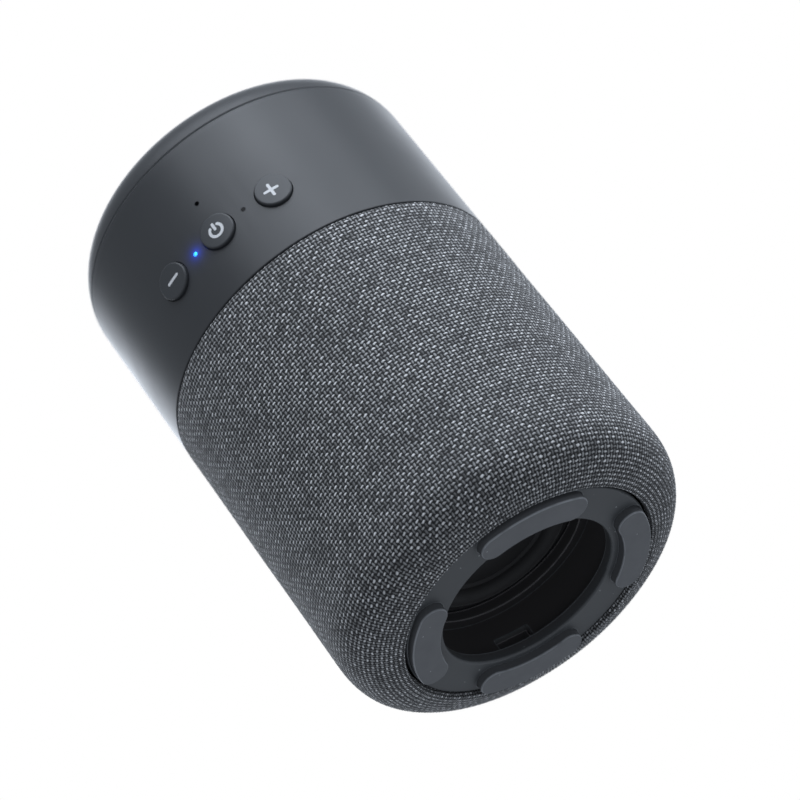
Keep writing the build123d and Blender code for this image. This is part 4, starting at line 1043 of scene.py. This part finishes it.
def camera():
    """The camera, turned about its line of sight by the roll."""
    made = bpy.data.objects.new("camera", bpy.data.cameras.new("camera"))
    bpy.context.scene.collection.objects.link(made)
    made.data.lens = CAMERA_LENS
    made.data.dof.use_dof = True
    made.data.dof.focus_distance = FOCUS_DISTANCE
    made.data.dof.aperture_fstop = APERTURE
    upright = toward_camera.to_track_quat("Z", "Y").to_matrix()
    rolled = upright @ Matrix.Rotation(math.radians(CAMERA_ROLL), 3, "Z")
    place = centre + AIM_SHIFT + toward_camera * CAMERA_DISTANCE
    made.matrix_world = Matrix.Translation(place) @ rolled.to_4x4()
    bpy.context.scene.camera = made


def softbox(name, toward, power):
    """A square lamp in that direction, facing the speaker."""
    lamp = bpy.data.lights.new(name, "AREA")
    lamp.energy = power
    lamp.size = LAMP_SIZE
    lamp.color = COOL
    made = bpy.data.objects.new(name, lamp)
    bpy.context.scene.collection.objects.link(made)
    place = centre + Vector(toward).normalized() * LAMP_DISTANCE
    facing = (place - centre).to_track_quat("Z", "Y").to_matrix().to_4x4()
    made.matrix_world = Matrix.Translation(place) @ facing


def surroundings():
    """White to the camera. What lights the speaker is grey, with the bright backdrop behind it."""
    world = bpy.data.worlds.new("studio")
    bpy.context.scene.world = world
    studio = Finish(world)
    heading = studio.add("ShaderNodeTexCoord").outputs["Generated"]
    facing = studio.add(
        "ShaderNodeVectorMath", {0: heading, 1: tuple(-toward_camera)}, operation="DOT_PRODUCT"
    )
    behind = Value(studio, facing.outputs["Value"]).between(0.75, 1.0)
    rays = Value(studio, studio.add("ShaderNodeLightPath").outputs["Is Camera Ray"])
    strength = behind * BACKDROP + AMBIENT
    background = studio.tree.nodes["Background"]
    studio.feed(background.inputs["Color"], studio.mix(rays, COOL, WHITE))
    studio.feed(background.inputs["Strength"], strength + rays * (strength * -1.0 + 1.0))


def floor():
    """A pale floor under the pads that only shows from above and fades out at its edge."""
    angle = np.arange(FLOOR_SIDES) * (2 * math.pi / FLOOR_SIDES)
    points = [(FLOOR_RADIUS * math.cos(a), FLOOR_RADIUS * math.sin(a), 0.0) for a in angle]
    mesh = bpy.data.meshes.new("floor")
    mesh.from_pydata(points, [], [tuple(range(FLOOR_SIDES))])
    ground = Surface("floor")
    clear = ground.add("ShaderNodeBsdfTransparent").outputs["BSDF"]
    below = Value(ground, ground.add("ShaderNodeNewGeometry").outputs["Backfacing"])
    faded = ground.radius().between(0.15 * FLOOR_RADIUS, 0.95 * FLOOR_RADIUS)
    hidden = below.larger(faded)
    ground.set(base_color=rgba([FLOOR_TONE / tint for tint in COOL]), roughness=0.9)
    shown = ground.add("ShaderNodeMixShader", {0: hidden})
    ground.tree.links.new(ground.shader.outputs["BSDF"], shown.inputs[1])
    ground.tree.links.new(clear, shown.inputs[2])
    ground.tree.links.new(shown.outputs[0], ground.tree.nodes["Material Output"].inputs["Surface"])
    mesh.materials.append(ground.holder)
    made = bpy.data.objects.new("floor", mesh)
    bpy.context.scene.collection.objects.link(made)
    made.visible_shadow = False
    made.visible_diffuse = False
    made.visible_glossy = False
    made.visible_transmission = False


camera()
surroundings()
floor()
softbox("right_front", (0.7, -0.4, 0.6), 1.18)
softbox("right", (1.0, 0.0, 0.2), 0.89)
softbox("front", (0.3, -0.6, 0.75), 1.44)
softbox("below", (0.2, 0.5, -0.85), 0.24)
softbox("right_rim", (0.7, 0.6, 0.4), 0.32)
softbox("left_rim", (-0.7, 0.6, 0.3), 1.05)
bpy.context.scene.view_settings.view_transform = "Standard"
